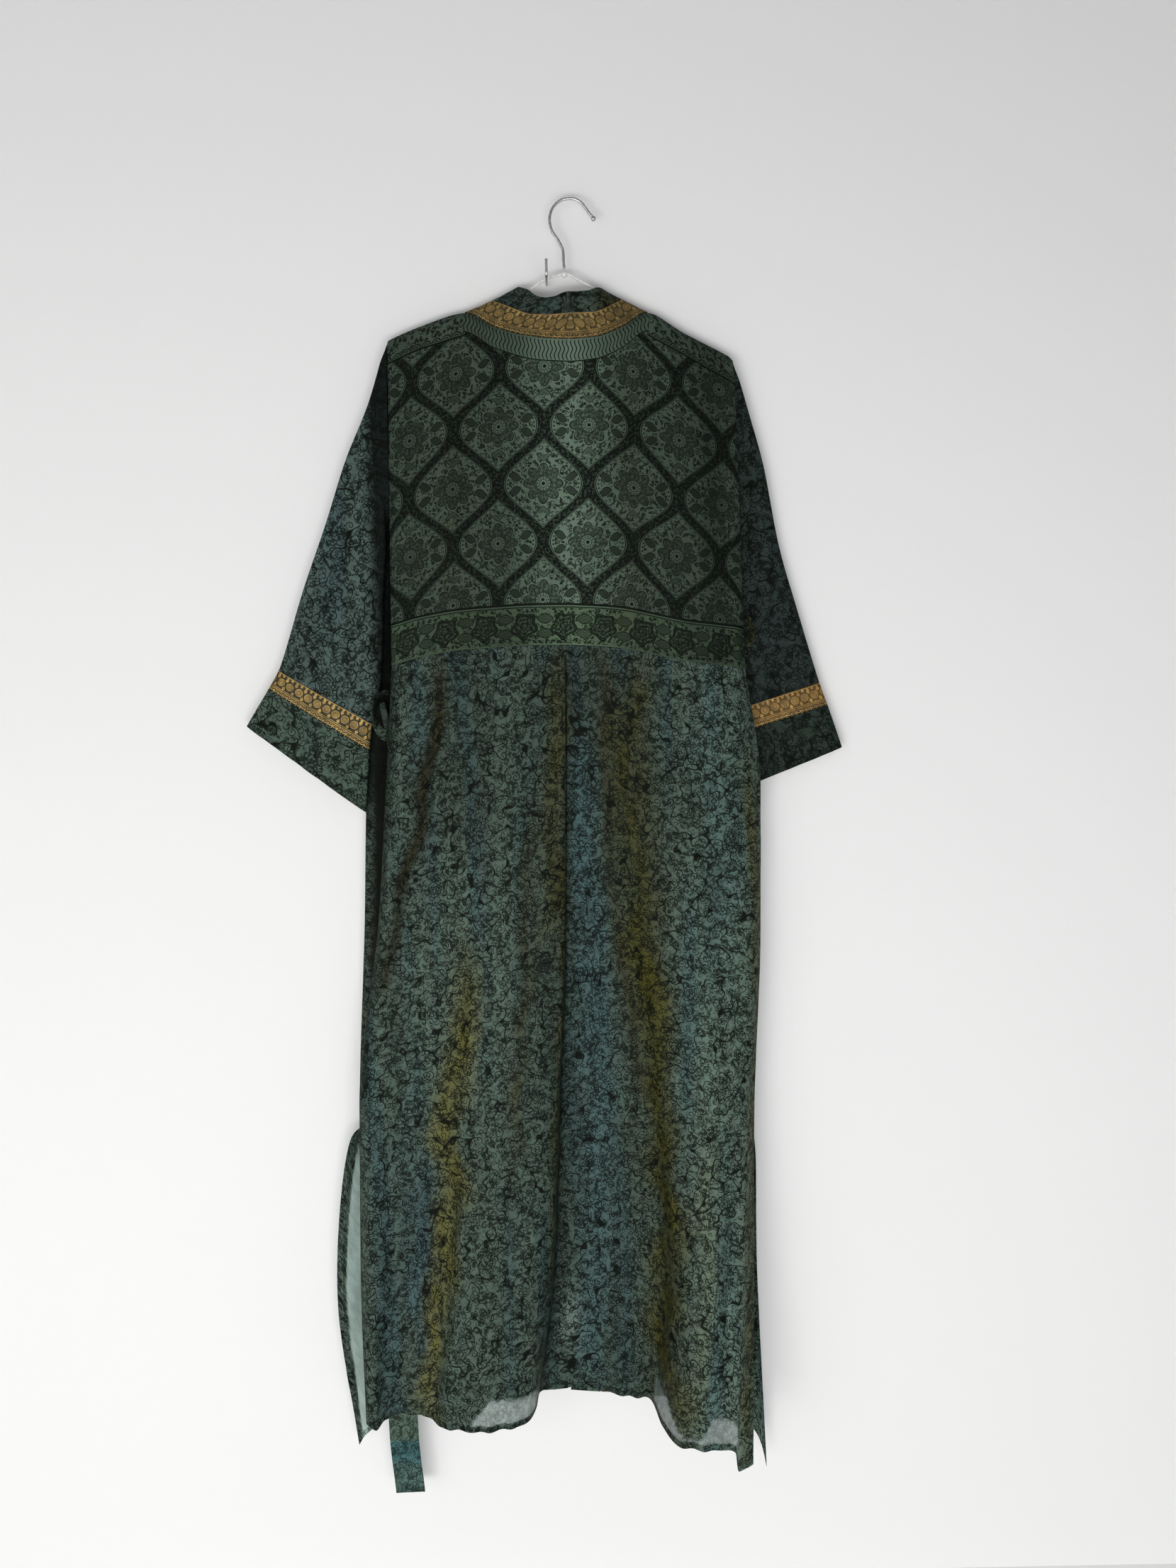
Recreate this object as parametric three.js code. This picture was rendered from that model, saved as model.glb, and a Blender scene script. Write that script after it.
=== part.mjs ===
// A long kimono-style robe of thin printed silk on a wire hanger, hung by one
// arm of the hanger from an L-shaped wall hook.
//
// Frame, millimetres: the origin is the root of the wall hook on the wall.
// +Z is up, +Y goes into the wall (the wall is the plane y = 0) and the
// garment's back faces -Y.  "out" in the tables is the distance from the wall,
// so y = -out.  Left and right are those of somebody facing the wall.
import * as THREE from "three";

// ---------------------------------------------------------------- sizes
const CLOTH = 1.2;        // wall of the silk panels
const BAND = 1.6;         // neckband and its border, folded double
const STRIP = 1.5;        // belt and belt loops, folded double
const GAP = 0.3;          // between neighbouring pieces
const HANGER_WIRE = 3.0;  // coated wire of the hanger's arms
const HOOK_WIRE = 3.4;    // satin wire of the hanger's hook
const NAIL_WIRE = 3.4;    // wire of the wall hook
const HANGER_OUT = 12;    // plane of the hanger
const NAIL_OUT = 38;      // reach of the wall hook
const NAIL_LEG = 18;      // its upturned leg

// ---------------------------------------------------------------- curves
// Smooth curve through values at 0, 1, 2 ... that never overshoots them.
function track(v) {
  const n = v.length, s = [], m = [];
  for (let i = 0; i < n - 1; i++) s.push(v[i + 1] - v[i]);
  for (let i = 0; i < n; i++) {
    const a = s[Math.max(i - 1, 0)], b = s[Math.min(i, n - 2)];
    m.push(a * b <= 0 ? 0 : (2 * a * b) / (a + b));
  }
  return (t) => {
    const i = Math.min(Math.max(Math.floor(t), 0), n - 2), f = t - i;
    const f2 = f * f, f3 = f2 * f;
    return (2 * f3 - 3 * f2 + 1) * v[i] + (f3 - 2 * f2 + f) * m[i] +
      (3 * f2 - 2 * f3) * v[i + 1] + (f3 - f2) * m[i + 1];
  };
}

// Points of a table (one row for each station, [x, z, out] at each level),
// with `us` steps between stations and `vs` steps between levels.
function weave(table, us, vs) {
  const rows = Object.values(table), n = rows.length, k = rows[0].length;
  const down = rows.map((r) => [0, 1, 2].map((c) => track(r.map((p) => p[c]))));
  const grid = [];
  for (let j = 0; j <= (k - 1) * vs; j++) {
    const line = [0, 1, 2].map((c) => track(down.map((d) => d[c](j / vs))));
    const row = [];
    for (let i = 0; i <= (n - 1) * us; i++) row.push(line.map((f) => f(i / us)));
    grid.push(row.map((p) => new THREE.Vector3(p[0], -p[2], p[1])));
  }
  return grid;
}

// Moves the rim of a grid inward along its own surface.
function trim(grid, { top = 0, bottom = 0, left = 0, right = 0 }) {
  const g = grid.map((r) => r.map((p) => p.clone())), n = g.length - 1, m = g[0].length - 1;
  const pull = (p, q, by) => by && p.add(q.clone().sub(p).setLength(by));
  for (let i = 0; i <= m; i++) { pull(g[0][i], grid[1][i], top); pull(g[n][i], grid[n - 1][i], bottom); }
  for (let j = 0; j <= n; j++) { pull(g[j][0], grid[j][1], left); pull(g[j][m], grid[j][m - 1], right); }
  return g;
}

function normals(g, flip, close) {
  const n = g.length, m = g[0].length, out = [];
  for (let j = 0; j < n; j++) {
    out.push([]);
    for (let i = 0; i < m; i++) {
      const i0 = close ? (i + m - 1) % m : Math.max(i - 1, 0), i1 = close ? (i + 1) % m : Math.min(i + 1, m - 1);
      const u = g[j][i1].clone().sub(g[j][i0]);
      const v = g[Math.min(j + 1, n - 1)][i].clone().sub(g[Math.max(j - 1, 0)][i]);
      out[j].push(u.cross(v).normalize().multiplyScalar(flip ? 1 : -1));
    }
  }
  return out;
}

// A closed wall of cloth: the grid is its outer face, `t` its thickness.
// `rim(j, i)` may give another direction for the thickness at a point.
function wall(grid, t, { flip = false, close = false, rim = null } = {}) {
  const n = grid.length, m = grid[0].length, nv = n * m;
  const nn = normals(grid, flip, close), pos = [], idx = [];
  for (let j = 0; j < n; j++) for (let i = 0; i < m; i++) pos.push(...grid[j][i].toArray());
  for (let j = 0; j < n; j++) for (let i = 0; i < m; i++) {
    const d = (rim && rim(j, i)) || nn[j][i];
    pos.push(...grid[j][i].clone().addScaledVector(d, -t).toArray());
  }
  const quad = (a, b, c, d) => (flip ? idx.push(a, b, c, a, c, d) : idx.push(a, c, b, a, d, c));
  const at = (j, i) => j * m + (close ? i % m : i), last = close ? m : m - 1;
  for (let j = 0; j < n - 1; j++) for (let i = 0; i < last; i++) {
    quad(at(j, i), at(j, i + 1), at(j + 1, i + 1), at(j + 1, i));
    quad(nv + at(j, i), nv + at(j + 1, i), nv + at(j + 1, i + 1), nv + at(j, i + 1));
  }
  for (let i = 0; i < last; i++) {
    quad(at(0, i), nv + at(0, i), nv + at(0, i + 1), at(0, i + 1));
    quad(at(n - 1, i), at(n - 1, i + 1), nv + at(n - 1, i + 1), nv + at(n - 1, i));
  }
  if (!close) for (let j = 0; j < n - 1; j++) {
    quad(at(j, 0), at(j + 1, 0), nv + at(j + 1, 0), nv + at(j, 0));
    quad(at(j, m - 1), nv + at(j, m - 1), nv + at(j + 1, m - 1), at(j + 1, m - 1));
  }
  const geo = new THREE.BufferGeometry();
  geo.setAttribute("position", new THREE.Float32BufferAttribute(pos, 3));
  geo.setIndex(idx);
  geo.computeVertexNormals();
  return geo;
}

// ---------------------------------------------------------------- back yoke
// From the shoulder ridge or the neck seam down to the waist seam.
// Levels: ridge or neck seam, just below it, chest, waist seam.
const BACK_YOKE = {
  edge_left:      [[-184, -63, 12.2], [-184.5, -68, 16], [-186, -205, 21], [-189, -434, 27]],
  roll_left:      [[-180, -61, 12.2], [-180, -66, 17],   [-179, -205, 28], [-179, -432, 38]],
  shoulder_left:  [[-145, -47, 12.2], [-145, -52, 17],   [-148, -205, 34], [-152, -425, 44]],
  neck_left:      [[-95, -33, 12.2],  [-96, -39, 17.5],  [-103, -205, 37], [-109, -418, 46]],
  collar_a:       [[-61, -51, 20],    [-61, -56, 22],    [-63, -205, 38],  [-65, -415, 46]],
  collar_b:       [[-27, -62, 26],    [-27, -67, 27],    [-26, -205, 38],  [-20, -413, 45]],
  collar_c:       [[4, -67, 30],      [4, -72, 30.5],    [5, -205, 38],    [6, -413, 44]],
  centre:         [[26, -68, 31],     [26, -73, 31.5],   [22, -205, 37],   [16, -413, 41]],
  collar_d:       [[55, -65, 28],     [55, -70, 29],     [50, -205, 38],   [38, -414, 42]],
  collar_e:       [[88, -51, 20],     [88, -56, 22],     [83, -205, 40],   [75, -417, 46]],
  neck_right:     [[115, -35, 12.2],  [116, -41, 17.5],  [114, -205, 41],  [111, -424, 49]],
  shoulder_right: [[157, -58, 12.2],  [157, -63, 17],    [155, -205, 38],  [152, -433, 50]],
  roll_right:     [[209, -85, 12.2],  [209, -90, 17],    [211, -205, 28],  [216, -441, 38]],
  edge_right:     [[213, -89, 12.2],  [213.5, -94, 15],  [218, -205, 20],  [226, -443, 27]],
};
const NECK_LEFT = 3, CENTRE = 7, NECK_RIGHT = 10;

// ---------------------------------------------------------------- back skirt
// One row for each fold line, from the left side to the right side.
// Levels: waist seam, hip, knee, slit top, low, hem.
const BACK_SKIRT = {
  seam_left:    [[-187, -435, 23.5], [-164, -577, 23],  [-168, -738, 24.5], [-178, -962, 28],  [-234, -1171, 52],  [-229, -1346, 80]],
  under_left:   [[-188, -434.5, 25], [-186, -577, 26],  [-200, -738, 28.5], [-226, -963, 34],  [-240, -1171, 52.5], [-235, -1344, 81]],
  edge_left:    [[-189, -434, 27], [-200, -577, 29], [-213, -738, 33], [-242, -963, 40], [-244, -1170, 58], [-238, -1342, 86]],
  roll_left:    [[-179, -432, 38], [-188, -576, 42], [-201, -736, 46], [-227, -958, 54], [-229, -1162, 74], [-225, -1346, 94]],
  side_tuck:    [[-170, -430, 42], [-178, -576, 45], [-191, -735, 48], [-216, -958, 56], [-219, -1163, 72], [-216, -1343, 78]],
  valley_a:     [[-152, -425, 44], [-161, -576, 46], [-172, -736, 48], [-193, -959, 54], [-194, -1169, 62], [-193, -1343, 68]],
  lobe_a_start: [[-109, -418, 46], [-118, -576, 48], [-113, -736, 50], [-129, -959, 57], [-142, -1168, 66], [-164, -1343, 74]],
  lobe_a_left:  [[-87, -416, 46],  [-94, -576, 51],  [-94, -735, 56],  [-107, -955, 66], [-120, -1160, 80], [-145, -1347, 92]],
  lobe_a_mid:   [[-65, -415, 46],  [-64, -577, 52],  [-64, -735, 58],  [-73, -955, 69],  [-84, -1158, 85],  [-101, -1349, 96]],
  lobe_a_right: [[-20, -413, 45],  [-23, -577, 50],  [-27, -736, 55],  [-35, -957, 65],  [-46, -1163, 78],  [-60, -1349, 90]],
  lobe_a_turn:  [[6, -413, 44],    [3, -578, 47],    [0, -738, 50],    [-11, -960, 58],  [-23, -1169, 68],  [-41, -1348, 77]],
  pleat_edge:   [[14.5, -413, 41], [13, -579, 42],   [10, -739, 44],   [-1, -964, 49],   [-12, -1178, 52],  [-34, -1348, 52]],
  pleat_in:     [[16, -413.5, 36], [14, -580, 33],   [11, -742, 31],   [1, -971, 31],    [-10, -1190, 30],  [-31, -1346, 26]],
  recess_left:  [[18, -413.5, 35.5], [17, -580, 31.5], [16, -743, 28], [11, -974, 25],   [6, -1195, 21],    [-10, -1345, 18]],
  recess_mid:   [[24, -413.5, 37], [27, -580, 32],   [31, -743, 29],   [35, -973, 26],   [39, -1196, 21],   [19, -1345, 17]],
  recess_right: [[38, -414, 40],   [47, -580, 35],   [56, -742, 33],   [78, -972, 32],   [88, -1193, 28],   [66, -1352, 23]],
  lobe_b_start: [[56, -415, 43],   [68, -580, 40],   [85, -741, 40],   [110, -968, 44],  [123, -1181, 50],  [107, -1354, 32]],
  lobe_b_turn:  [[75, -417, 46],   [88, -579, 48],   [106, -739, 52],  [129, -960, 64],  [135, -1164, 82],  [119, -1352, 86]],
  lobe_b_left:  [[95, -420, 48],   [107, -579, 52],  [128, -738, 58],  [149, -957, 72],  [152, -1156, 97],  [134, -1354, 120]],
  lobe_b_mid:   [[131, -429, 50],  [149, -579, 54],  [166, -738, 61],  [178, -955, 78],  [178, -1151, 106], [162, -1355, 128]],
  valley_b:     [[172, -436, 49],  [191, -580, 52],  [201, -739, 57],  [209, -960, 68],  [200, -1159, 92],  [188, -1357, 124]],
  lobe_c:       [[200, -440, 44],  [214, -581, 49],  [221, -740, 55],  [221, -962, 64],  [213, -1160, 92],  [202, -1360, 128]],
  roll_right:   [[216, -441, 38],  [230, -582, 43],  [236, -742, 48],  [228, -965, 56],  [223, -1165, 82],  [206, -1383, 128]],
  edge_right:   [[226, -443, 27],  [244, -583, 30],  [244, -745, 34],  [236, -970, 42],  [232, -1172, 70],  [224, -1379, 120]],
};

// ---------------------------------------------------------------- fronts
// From the side seam (below the slit top: the free edge) round to the
// neckband seam; the outer face looks at the wall.
// Levels: ridge, just below, chest, armhole end, waist top, waist, hip,
// knee, slit top, below it, low, hem.
const FRONT_LEFT = {
  seam:    [[-184, -63.2, 11.8], [-184.5, -68, 9], [-186, -110, 8], [-186, -262, 12], [-188, -340, 18.5], [-187, -435, 21], [-164, -577, 20.5], [-167, -740, 21.5], [-177, -960, 24], [-256.5, -1010, 21.5], [-281.5, -1215, 20], [-261, -1416, 20]],
  turn:    [[-179, -61, 11.8], [-179, -65.5, 7.8], [-180, -110, 6.4], [-182, -262, 9.5], [-187, -340, 13.5], [-188, -435, 16], [-172, -577, 15.5], [-178, -740, 16], [-192, -960, 17.5], [-251.5, -1012, 18.5], [-271.5, -1212, 18], [-256, -1408, 18]],
  strip:   [[-173, -58.4, 11.8], [-173, -63, 7.5], [-174, -110, 5.8], [-187, -262, 8.2], [-192, -340, 8.8], [-199, -435, 10], [-203, -577, 12.6], [-207, -740, 14.5], [-220, -960, 16], [-248.5, -1015, 16.5], [-260, -1208, 17], [-249, -1401, 17]],
  bulge:   [[-167, -56, 11.8], [-167, -60.6, 7.5], [-168, -110, 5.6], [-195, -262, 5.2], [-202, -340, 5.4], [-210, -435, 6.2], [-226, -577, 8.4], [-233, -740, 13], [-246, -960, 14], [-246, -1020, 14.8], [-246.5, -1200, 15.5], [-240, -1394, 16]],
  behind:  [[-158, -52.3, 11.8], [-158, -57, 7.5], [-160, -110, 5.5], [-180, -262, 3.2], [-188, -340, 2.6], [-196, -435, 2.8], [-209, -577, 4.6], [-220, -740, 7], [-232, -960, 9], [-230, -1028, 11], [-226, -1180, 14], [-220, -1383, 15]],
  side:    [[-140, -45.4, 11.8], [-140, -50, 7.5], [-140, -110, 5.5], [-142, -262, 5.5], [-148, -340, 4.8],  [-152, -435, 5],     [-165, -577, 6],    [-175, -740, 7],  [-185, -960, 9],  [-187, -1035, 10], [-190, -1165, 12], [-190, -1374, 14]],
  mid:     [[-118, -39.6, 11.8], [-118, -44, 7.6], [-115, -110, 5.5], [-110, -262, 6],   [-104, -340, 6],    [-104, -435, 7],     [-108, -577, 8],    [-112, -740, 9],  [-116, -960, 10], [-117, -1035, 10.5], [-118, -1165, 12], [-120, -1358, 14]],
  neckband: [[-95, -33.2, 11.8], [-95, -38, 8],    [-88, -110, 6],    [-76, -262, 6],    [-58, -340, 7],     [-54, -435, 8],      [-54, -577, 9],     [-54, -740, 10],  [-54, -960, 11],  [-54, -1035, 11.3], [-54, -1165, 12],  [-54, -1352, 12]],
};
const FRONT_RIGHT = {
  seam:    [[213, -89.2, 11.8],  [213, -94, 9],    [212.5, -130, 9],  [210, -262, 17],   [213, -340, 20],    [223, -435, 24.5],  [240, -577, 27.5],  [240, -740, 31.5], [233, -965, 39], [240, -1045, 27], [242, -1165, 22],  [256, -1455, 20]],
  bulge:   [[209, -86, 11.8],    [209, -90.6, 8],  [208, -130, 8],    [206, -262, 16.8], [210, -340, 18.4],  [221, -435, 19.5],  [238, -577, 21],    [238, -740, 24],  [231, -965, 28],  [236, -1045, 23], [238, -1165, 20],  [250, -1428, 18]],
  behind:  [[200, -81.2, 11.8],  [200, -86, 7.5],  [198, -130, 7.5],  [196, -262, 16.6], [198, -340, 17.2],  [208, -435, 17.2],  [224, -577, 17.4],  [224, -740, 17.6], [218, -965, 18], [221, -1045, 17.5], [220, -1165, 17],  [236, -1402, 17]],
  side:    [[157, -58.2, 11.8],  [157, -63, 7.5],  [157, -130, 6.5],  [157, -262, 15],   [160, -340, 16.8],  [165, -435, 17],    [168, -577, 17],    [168, -740, 15],  [168, -965, 13],  [169, -1040, 13.3], [170, -1165, 14],  [185, -1386, 15]],
  mid:     [[135, -46.2, 11.8],  [135, -51, 7.5],  [130, -110, 6],    [125, -262, 7],    [120, -340, 8],     [118, -435, 9],     [118, -577, 10],    [118, -740, 10],  [118, -965, 10],  [118, -1040, 10.6], [118, -1165, 12],  [130, -1363, 14]],
  neckband: [[115, -35.2, 11.8], [115, -40, 8],    [110, -110, 6],    [98, -262, 7],     [72, -340, 8],      [68, -435, 9],      [68, -577, 9],      [68, -740, 10],   [68, -960, 11],   [68, -1035, 11.3], [68, -1165, 12],   [68, -1356, 13]],
};

// ---------------------------------------------------------------- neckband
// Back neck, one row for each station of the yoke's neck seam:
// border line between the gold border and the plain band, and the free edge.
const NECK_BACK = {
  neck_left:  { border: [-63, -20, 12],  edge: [-33, -5, 12] },
  collar_a:   { border: [-46, -27, 19.5], edge: [-22, -10, 18.5] },
  collar_b:   { border: [-18, -38, 25],  edge: [-9, -19, 23] },
  collar_c:   { border: [5, -39.5, 28],  edge: [5, -21, 26] },
  centre:     { border: [26, -39, 31],   edge: [22, -16, 30.5] },
  collar_d:   { border: [52, -37.5, 29], edge: [42, -15, 28] },
  collar_e:   { border: [74, -27, 20],   edge: [57, -9, 19.5] },
  neck_right: { border: [85, -20, 12],   edge: [63, -8, 12] },
};
// Fronts, one row for each level of the front's neckband seam.
const NECK_FRONT = {
  left: {
    border: [[-64, -20.2, 11.7], [-65, -27, 8], [-60, -106, 6], [-48, -258, 6], [-30, -338, 7], [-26, -435, 8], [-26, -577, 9], [-26, -740, 10], [-26, -960, 11], [-26, -1035, 11.3], [-26, -1165, 12], [-26, -1352, 12]],
    edge:   [[-33, -5.2, 11.7], [-34, -13, 8], [-30, -100, 6], [-18, -252, 6], [0, -334, 7], [4, -435, 8], [4, -577, 9], [4, -740, 10], [4, -960, 11], [4, -1035, 11.3], [4, -1165, 12], [4, -1350, 12]],
  },
  right: {
    border: [[85, -20.2, 11.7], [86, -27, 8], [82, -106, 6], [70, -258, 7], [46, -338, 8], [42, -435, 9], [42, -577, 9], [42, -740, 10], [42, -960, 11], [42, -1035, 11.3], [44, -1165, 12], [46, -1355, 12.5]],
    edge:   [[63, -8.2, 11.7], [63, -16, 8], [52, -100, 6], [40, -252, 7], [14, -334, 8], [8, -435, 9], [8, -577, 9], [8, -740, 10], [8, -960, 11], [8, -1035, 11.3], [8, -1165, 12], [8, -1352, 12]],
  },
};

// ---------------------------------------------------------------- sleeves
// Flattened tubes.  Each section runs from the fold on top (over the arm) to
// the fold below; out is its distance from the wall, half its half depth.
const SLEEVE_LEFT = {
  armhole:   { top: [-187, -68],  low: [-191, -262], out: 15.5, half: 6.5 },
  upper_1:   { top: [-208, -132], low: [-193, -302], out: 15, half: 7.5 },
  upper_2:   { top: [-237, -197], low: [-197, -350], out: 14, half: 8.5 },
  middle_1:  { top: [-263, -270], low: [-199.5, -400], out: 14, half: 9 },
  middle_2:  { top: [-291, -343], low: [-203, -448], out: 14, half: 9 },
  border_up: { top: [-324, -438], low: [-216, -503], out: 14, half: 8.5 },
  border_lo: { top: [-337, -460], low: [-220, -535], out: 14, half: 8.5 },
  cuff_mid:  { top: [-351, -482], low: [-223.5, -572], out: 14, half: 8 },
  hem:       { top: [-365, -504], low: [-227, -609], out: 14, half: 8 },
};
const SLEEVE_RIGHT = {
  armhole:   { top: [215.5, -93], low: [217, -262],  out: 11.5, half: 6 },
  upper_1:   { top: [234, -154],  low: [214, -305],  out: 10, half: 6.5 },
  upper_2:   { top: [249, -206],  low: [210, -352],  out: 9.5, half: 6.5 },
  middle_1:  { top: [268, -300],  low: [205, -410],  out: 9, half: 6 },
  middle_2:  { top: [291, -378],  low: [201, -460],  out: 9, half: 6 },
  border_up: { top: [317, -461],  low: [196, -499],  out: 9, half: 6 },
  border_lo: { top: [327, -488],  low: [193, -528],  out: 9, half: 6 },
  cuff_mid:  { top: [336, -513],  low: [188, -565],  out: 9, half: 6 },
  hem:       { top: [345, -539],  low: [182, -603],  out: 9, half: 6 },
};
const BORDER_UP = 5, BORDER_LO = 6;
const FOLD_SIDES = 18;    // points round a sleeve section

function sleeveRings(table, from, to, steps) {
  const rows = Object.values(table);
  const f = (pick) => track(rows.map(pick));
  const tx = f((r) => r.top[0]), tz = f((r) => r.top[1]), lx = f((r) => r.low[0]), lz = f((r) => r.low[1]);
  const out = f((r) => r.out), half = f((r) => r.half), rings = [];
  for (let k = 0; k <= steps; k++) {
    const t = from + ((to - from) * k) / steps, ring = [];
    for (let i = 0; i < FOLD_SIDES; i++) {
      const a = (2 * Math.PI * i) / FOLD_SIDES, c = Math.cos(a), s = Math.sin(a);
      const w = 0.5 - 0.5 * Math.sign(c) * Math.abs(c) ** 0.8;
      const d = out(t) + half(t) * Math.sign(s) * Math.abs(s) ** 0.75;
      ring.push(new THREE.Vector3(THREE.MathUtils.lerp(tx(t), lx(t), w), -d, THREE.MathUtils.lerp(tz(t), lz(t), w)));
    }
    rings.push(ring);
  }
  return rings;
}

// ---------------------------------------------------------------- strips
// Belt and loops: one row for each section of the strip, its middle
// [x, z, out] and the half width as a vector [x, z, out].
const LOOP_LEFT = {
  sewn_top: { at: [-193.5, -466, 26], half: [1, 3.2, 4] },
  top:      { at: [-201, -467, 27], half: [1, 2, 5.2] },
  shoulder: { at: [-208, -474, 28], half: [-0.8, 1.2, 5.4] },
  side:     { at: [-211, -489, 28.5], half: [-0.6, 0, 5.5] },
  low:      { at: [-208.5, -503, 29.2], half: [-2.5, -1.5, 5] },
  bottom:   { at: [-202.5, -513.4, 29.2], half: [-2.5, -4.6, 3.4] },
  sewn_low: { at: [-198.2, -517, 26.5], half: [-0.8, -6.2, 1.6] },
};
const LOOP_RIGHT = {
  sewn_top: { at: [226.3, -384, 27], half: [1, 3, 4] },
  top:      { at: [230, -388, 27.5], half: [1.6, 2, 4.6] },
  side:     { at: [233.4, -399, 28], half: [1.4, 0, 5.4] },
  bottom:   { at: [231, -411, 28], half: [1.8, -2.6, 4.6] },
  sewn_low: { at: [227.8, -414, 27], half: [0.8, -4, 3.4] },
};
const BELT = {
  end_short:  { at: [-200, -1150, 32], half: [17.5, 0, 0] },
  short_low:  { at: [-200, -1050, 33], half: [12, 0, 0] },
  short_slit: { at: [-202, -960, 27], half: [8, 0, 0] },
  short_knee: { at: [-192, -750, 22.4], half: [6.5, 0, 0] },
  short_hip:  { at: [-183, -600, 20.6], half: [6, 0, 0] },
  short_loop: { at: [-193.5, -532, 21.4], half: [3.6, 0, 0] },
  over_back:  { at: [-199.5, -492, 23.4], half: [3.4, 1.4, -1] },
  over_top:   { at: [-202.6, -478.5, 22], half: [3.2, 1.4, -1] },
  over_front: { at: [-201.4, -487, 19.6], half: [3.2, 1.4, -1] },
  long_loop:  { at: [-193, -533, 18.2], half: [3.6, 0, 0] },
  long_hip:   { at: [-184, -600, 17.6], half: [6, 0, 0] },
  long_knee:  { at: [-193, -750, 18.8], half: [6.5, 0, 0] },
  long_slit:  { at: [-204, -960, 23.4], half: [8, 0, 0] },
  long_low:   { at: [-203, -1050, 27.6], half: [12, 0, 0] },
  long_wide:  { at: [-203, -1150, 27], half: [17.5, 0, 0] },
  long_hem:   { at: [-203, -1375, 27], half: [18.2, 0, 0] },
  end_long:   { at: [-196.5, -1476, 27], half: [18.2, 0.6, 0] },
};
function stripGrid(table, us, across) {
  const rows = Object.values(table);
  const at = [0, 1, 2].map((c) => track(rows.map((r) => r.at[c])));
  const half = [0, 1, 2].map((c) => track(rows.map((r) => r.half[c])));
  const grid = [];
  for (let j = 0; j <= (rows.length - 1) * us; j++) {
    const row = [];
    for (let i = 0; i <= across; i++) {
      const w = (2 * i) / across - 1, p = [0, 1, 2].map((c) => at[c](j / us) + w * half[c](j / us));
      row.push(new THREE.Vector3(p[0], -p[2], p[1]));
    }
    grid.push(row);
  }
  return grid;
}

// ---------------------------------------------------------------- wires
function wire(points, diameter, sides = 10, steps = 40) {
  const curve = new THREE.CatmullRomCurve3(points.map(([x, z, out]) => new THREE.Vector3(x, -out, z)), false, "centripetal");
  const shape = new THREE.Shape();
  for (let i = 0; i < sides; i++) {
    const a = (2 * Math.PI * i) / sides, x = (diameter / 2) * Math.cos(a), y = (diameter / 2) * Math.sin(a);
    if (i) shape.lineTo(x, y); else shape.moveTo(x, y);
  }
  shape.closePath();
  return new THREE.ExtrudeGeometry(shape, { extrudePath: curve, steps, bevelEnabled: false });
}
const HOOK_LINE = [[20, 14.4], [19.4, 24], [19, 34], [13, 47], [6, 58], [4, 69], [6.5, 79], [12.5, 86.5], [21, 91], [30, 91.5], [39, 88], [46, 80], [50, 74.5], [53.5, 71]];
const ARMS_LINE = [[-177, -64.5], [-145, -54], [-95, -42.4], [-33, -16], [0, 4.1], [14, 8.2], [20, 9.8], [26, 8], [38, 1.5], [51, -6], [66, -19.5], [115, -45.4], [157, -65.4], [202, -88.8]];
const NAIL_LINE = [[0, 0, 0], [0, 0, 12], [0, 0, 26], [0, 0.2, 35], [0, 3.2, NAIL_OUT], [0, NAIL_LEG, NAIL_OUT]];

// ---------------------------------------------------------------- assembly
const LOOK = {
  silk: { color: 0x6d857b, roughness: 0.55 },
  yoke: { color: 0x647c68, roughness: 0.55 },
  sleeve: { color: 0x55706c, roughness: 0.55 },
  gold: { color: 0xb08a3c, roughness: 0.42, metalness: 0.25 },
  satin: { color: 0xb9b9b7, roughness: 0.3, metalness: 0.9 },
  coated: { color: 0xe9e8e6, roughness: 0.45 },
};
const robe = new THREE.Group();
function put(name, geometry, look) {
  const mesh = new THREE.Mesh(geometry, new THREE.MeshStandardMaterial(LOOK[look]));
  mesh.name = name;
  robe.add(mesh);
}

// back
const UP = new THREE.Vector3(0, 0, 1);
const yoke = weave(BACK_YOKE, 2, 2);
const onRidge = (i) => i <= 2 * NECK_LEFT || i >= 2 * NECK_RIGHT;
put("back_yoke", wall(trim(yoke, { top: 0, bottom: GAP }), CLOTH, { rim: (j, i) => j === 0 && onRidge(i) && UP }), "yoke");
put("back_skirt", wall(trim(weave(BACK_SKIRT, 2, 2), { top: 2 * GAP }), CLOTH), "silk");

// fronts
const frontLeft = weave(FRONT_LEFT, 2, 2), frontRight = weave(FRONT_RIGHT, 2, 2);
const ridgeRim = { flip: true, rim: (j) => j === 0 && UP };
put("front_left", wall(trim(frontLeft, { right: GAP }), CLOTH, ridgeRim), "silk");
put("front_right", wall(trim(frontRight.map((r) => [...r].reverse()), { left: GAP }), CLOTH, ridgeRim), "silk");

// neckband and gold border: seam line taken from the panels they are sewn to
function band(side) {
  const front = side === "left" ? frontLeft : frontRight, t = NECK_FRONT[side];
  const seam = front.map((r) => r[r.length - 1]).reverse();
  const down = ["border", "edge"].map((k) => [0, 1, 2].map((c) => track(t[k].map((p) => p[c]))));
  const n = seam.length - 1;
  const v = (f, s) => new THREE.Vector3(f[0](s), -f[2](s), f[1](s));
  const rows = seam.map((p, j) => [p, v(down[0], (n - j) / 2), v(down[1], (n - j) / 2)]);
  rows.pop();                                     // the ridge comes from the back
  const back = Object.values(NECK_BACK);
  const across = ["border", "edge"].map((k) => [0, 1, 2].map((c) => track(back.map((r) => r[k][c]))));
  const from = side === "left" ? NECK_LEFT : NECK_RIGHT, dir = side === "left" ? 1 : -1;
  for (let i = 0; i <= 2 * Math.abs(CENTRE - from); i++) {
    const u = from + (dir * i) / 2, s = u - NECK_LEFT;
    rows.push([yoke[0][2 * u], v(across[0], s), v(across[1], s)]);
  }
  return rows;
}
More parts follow.
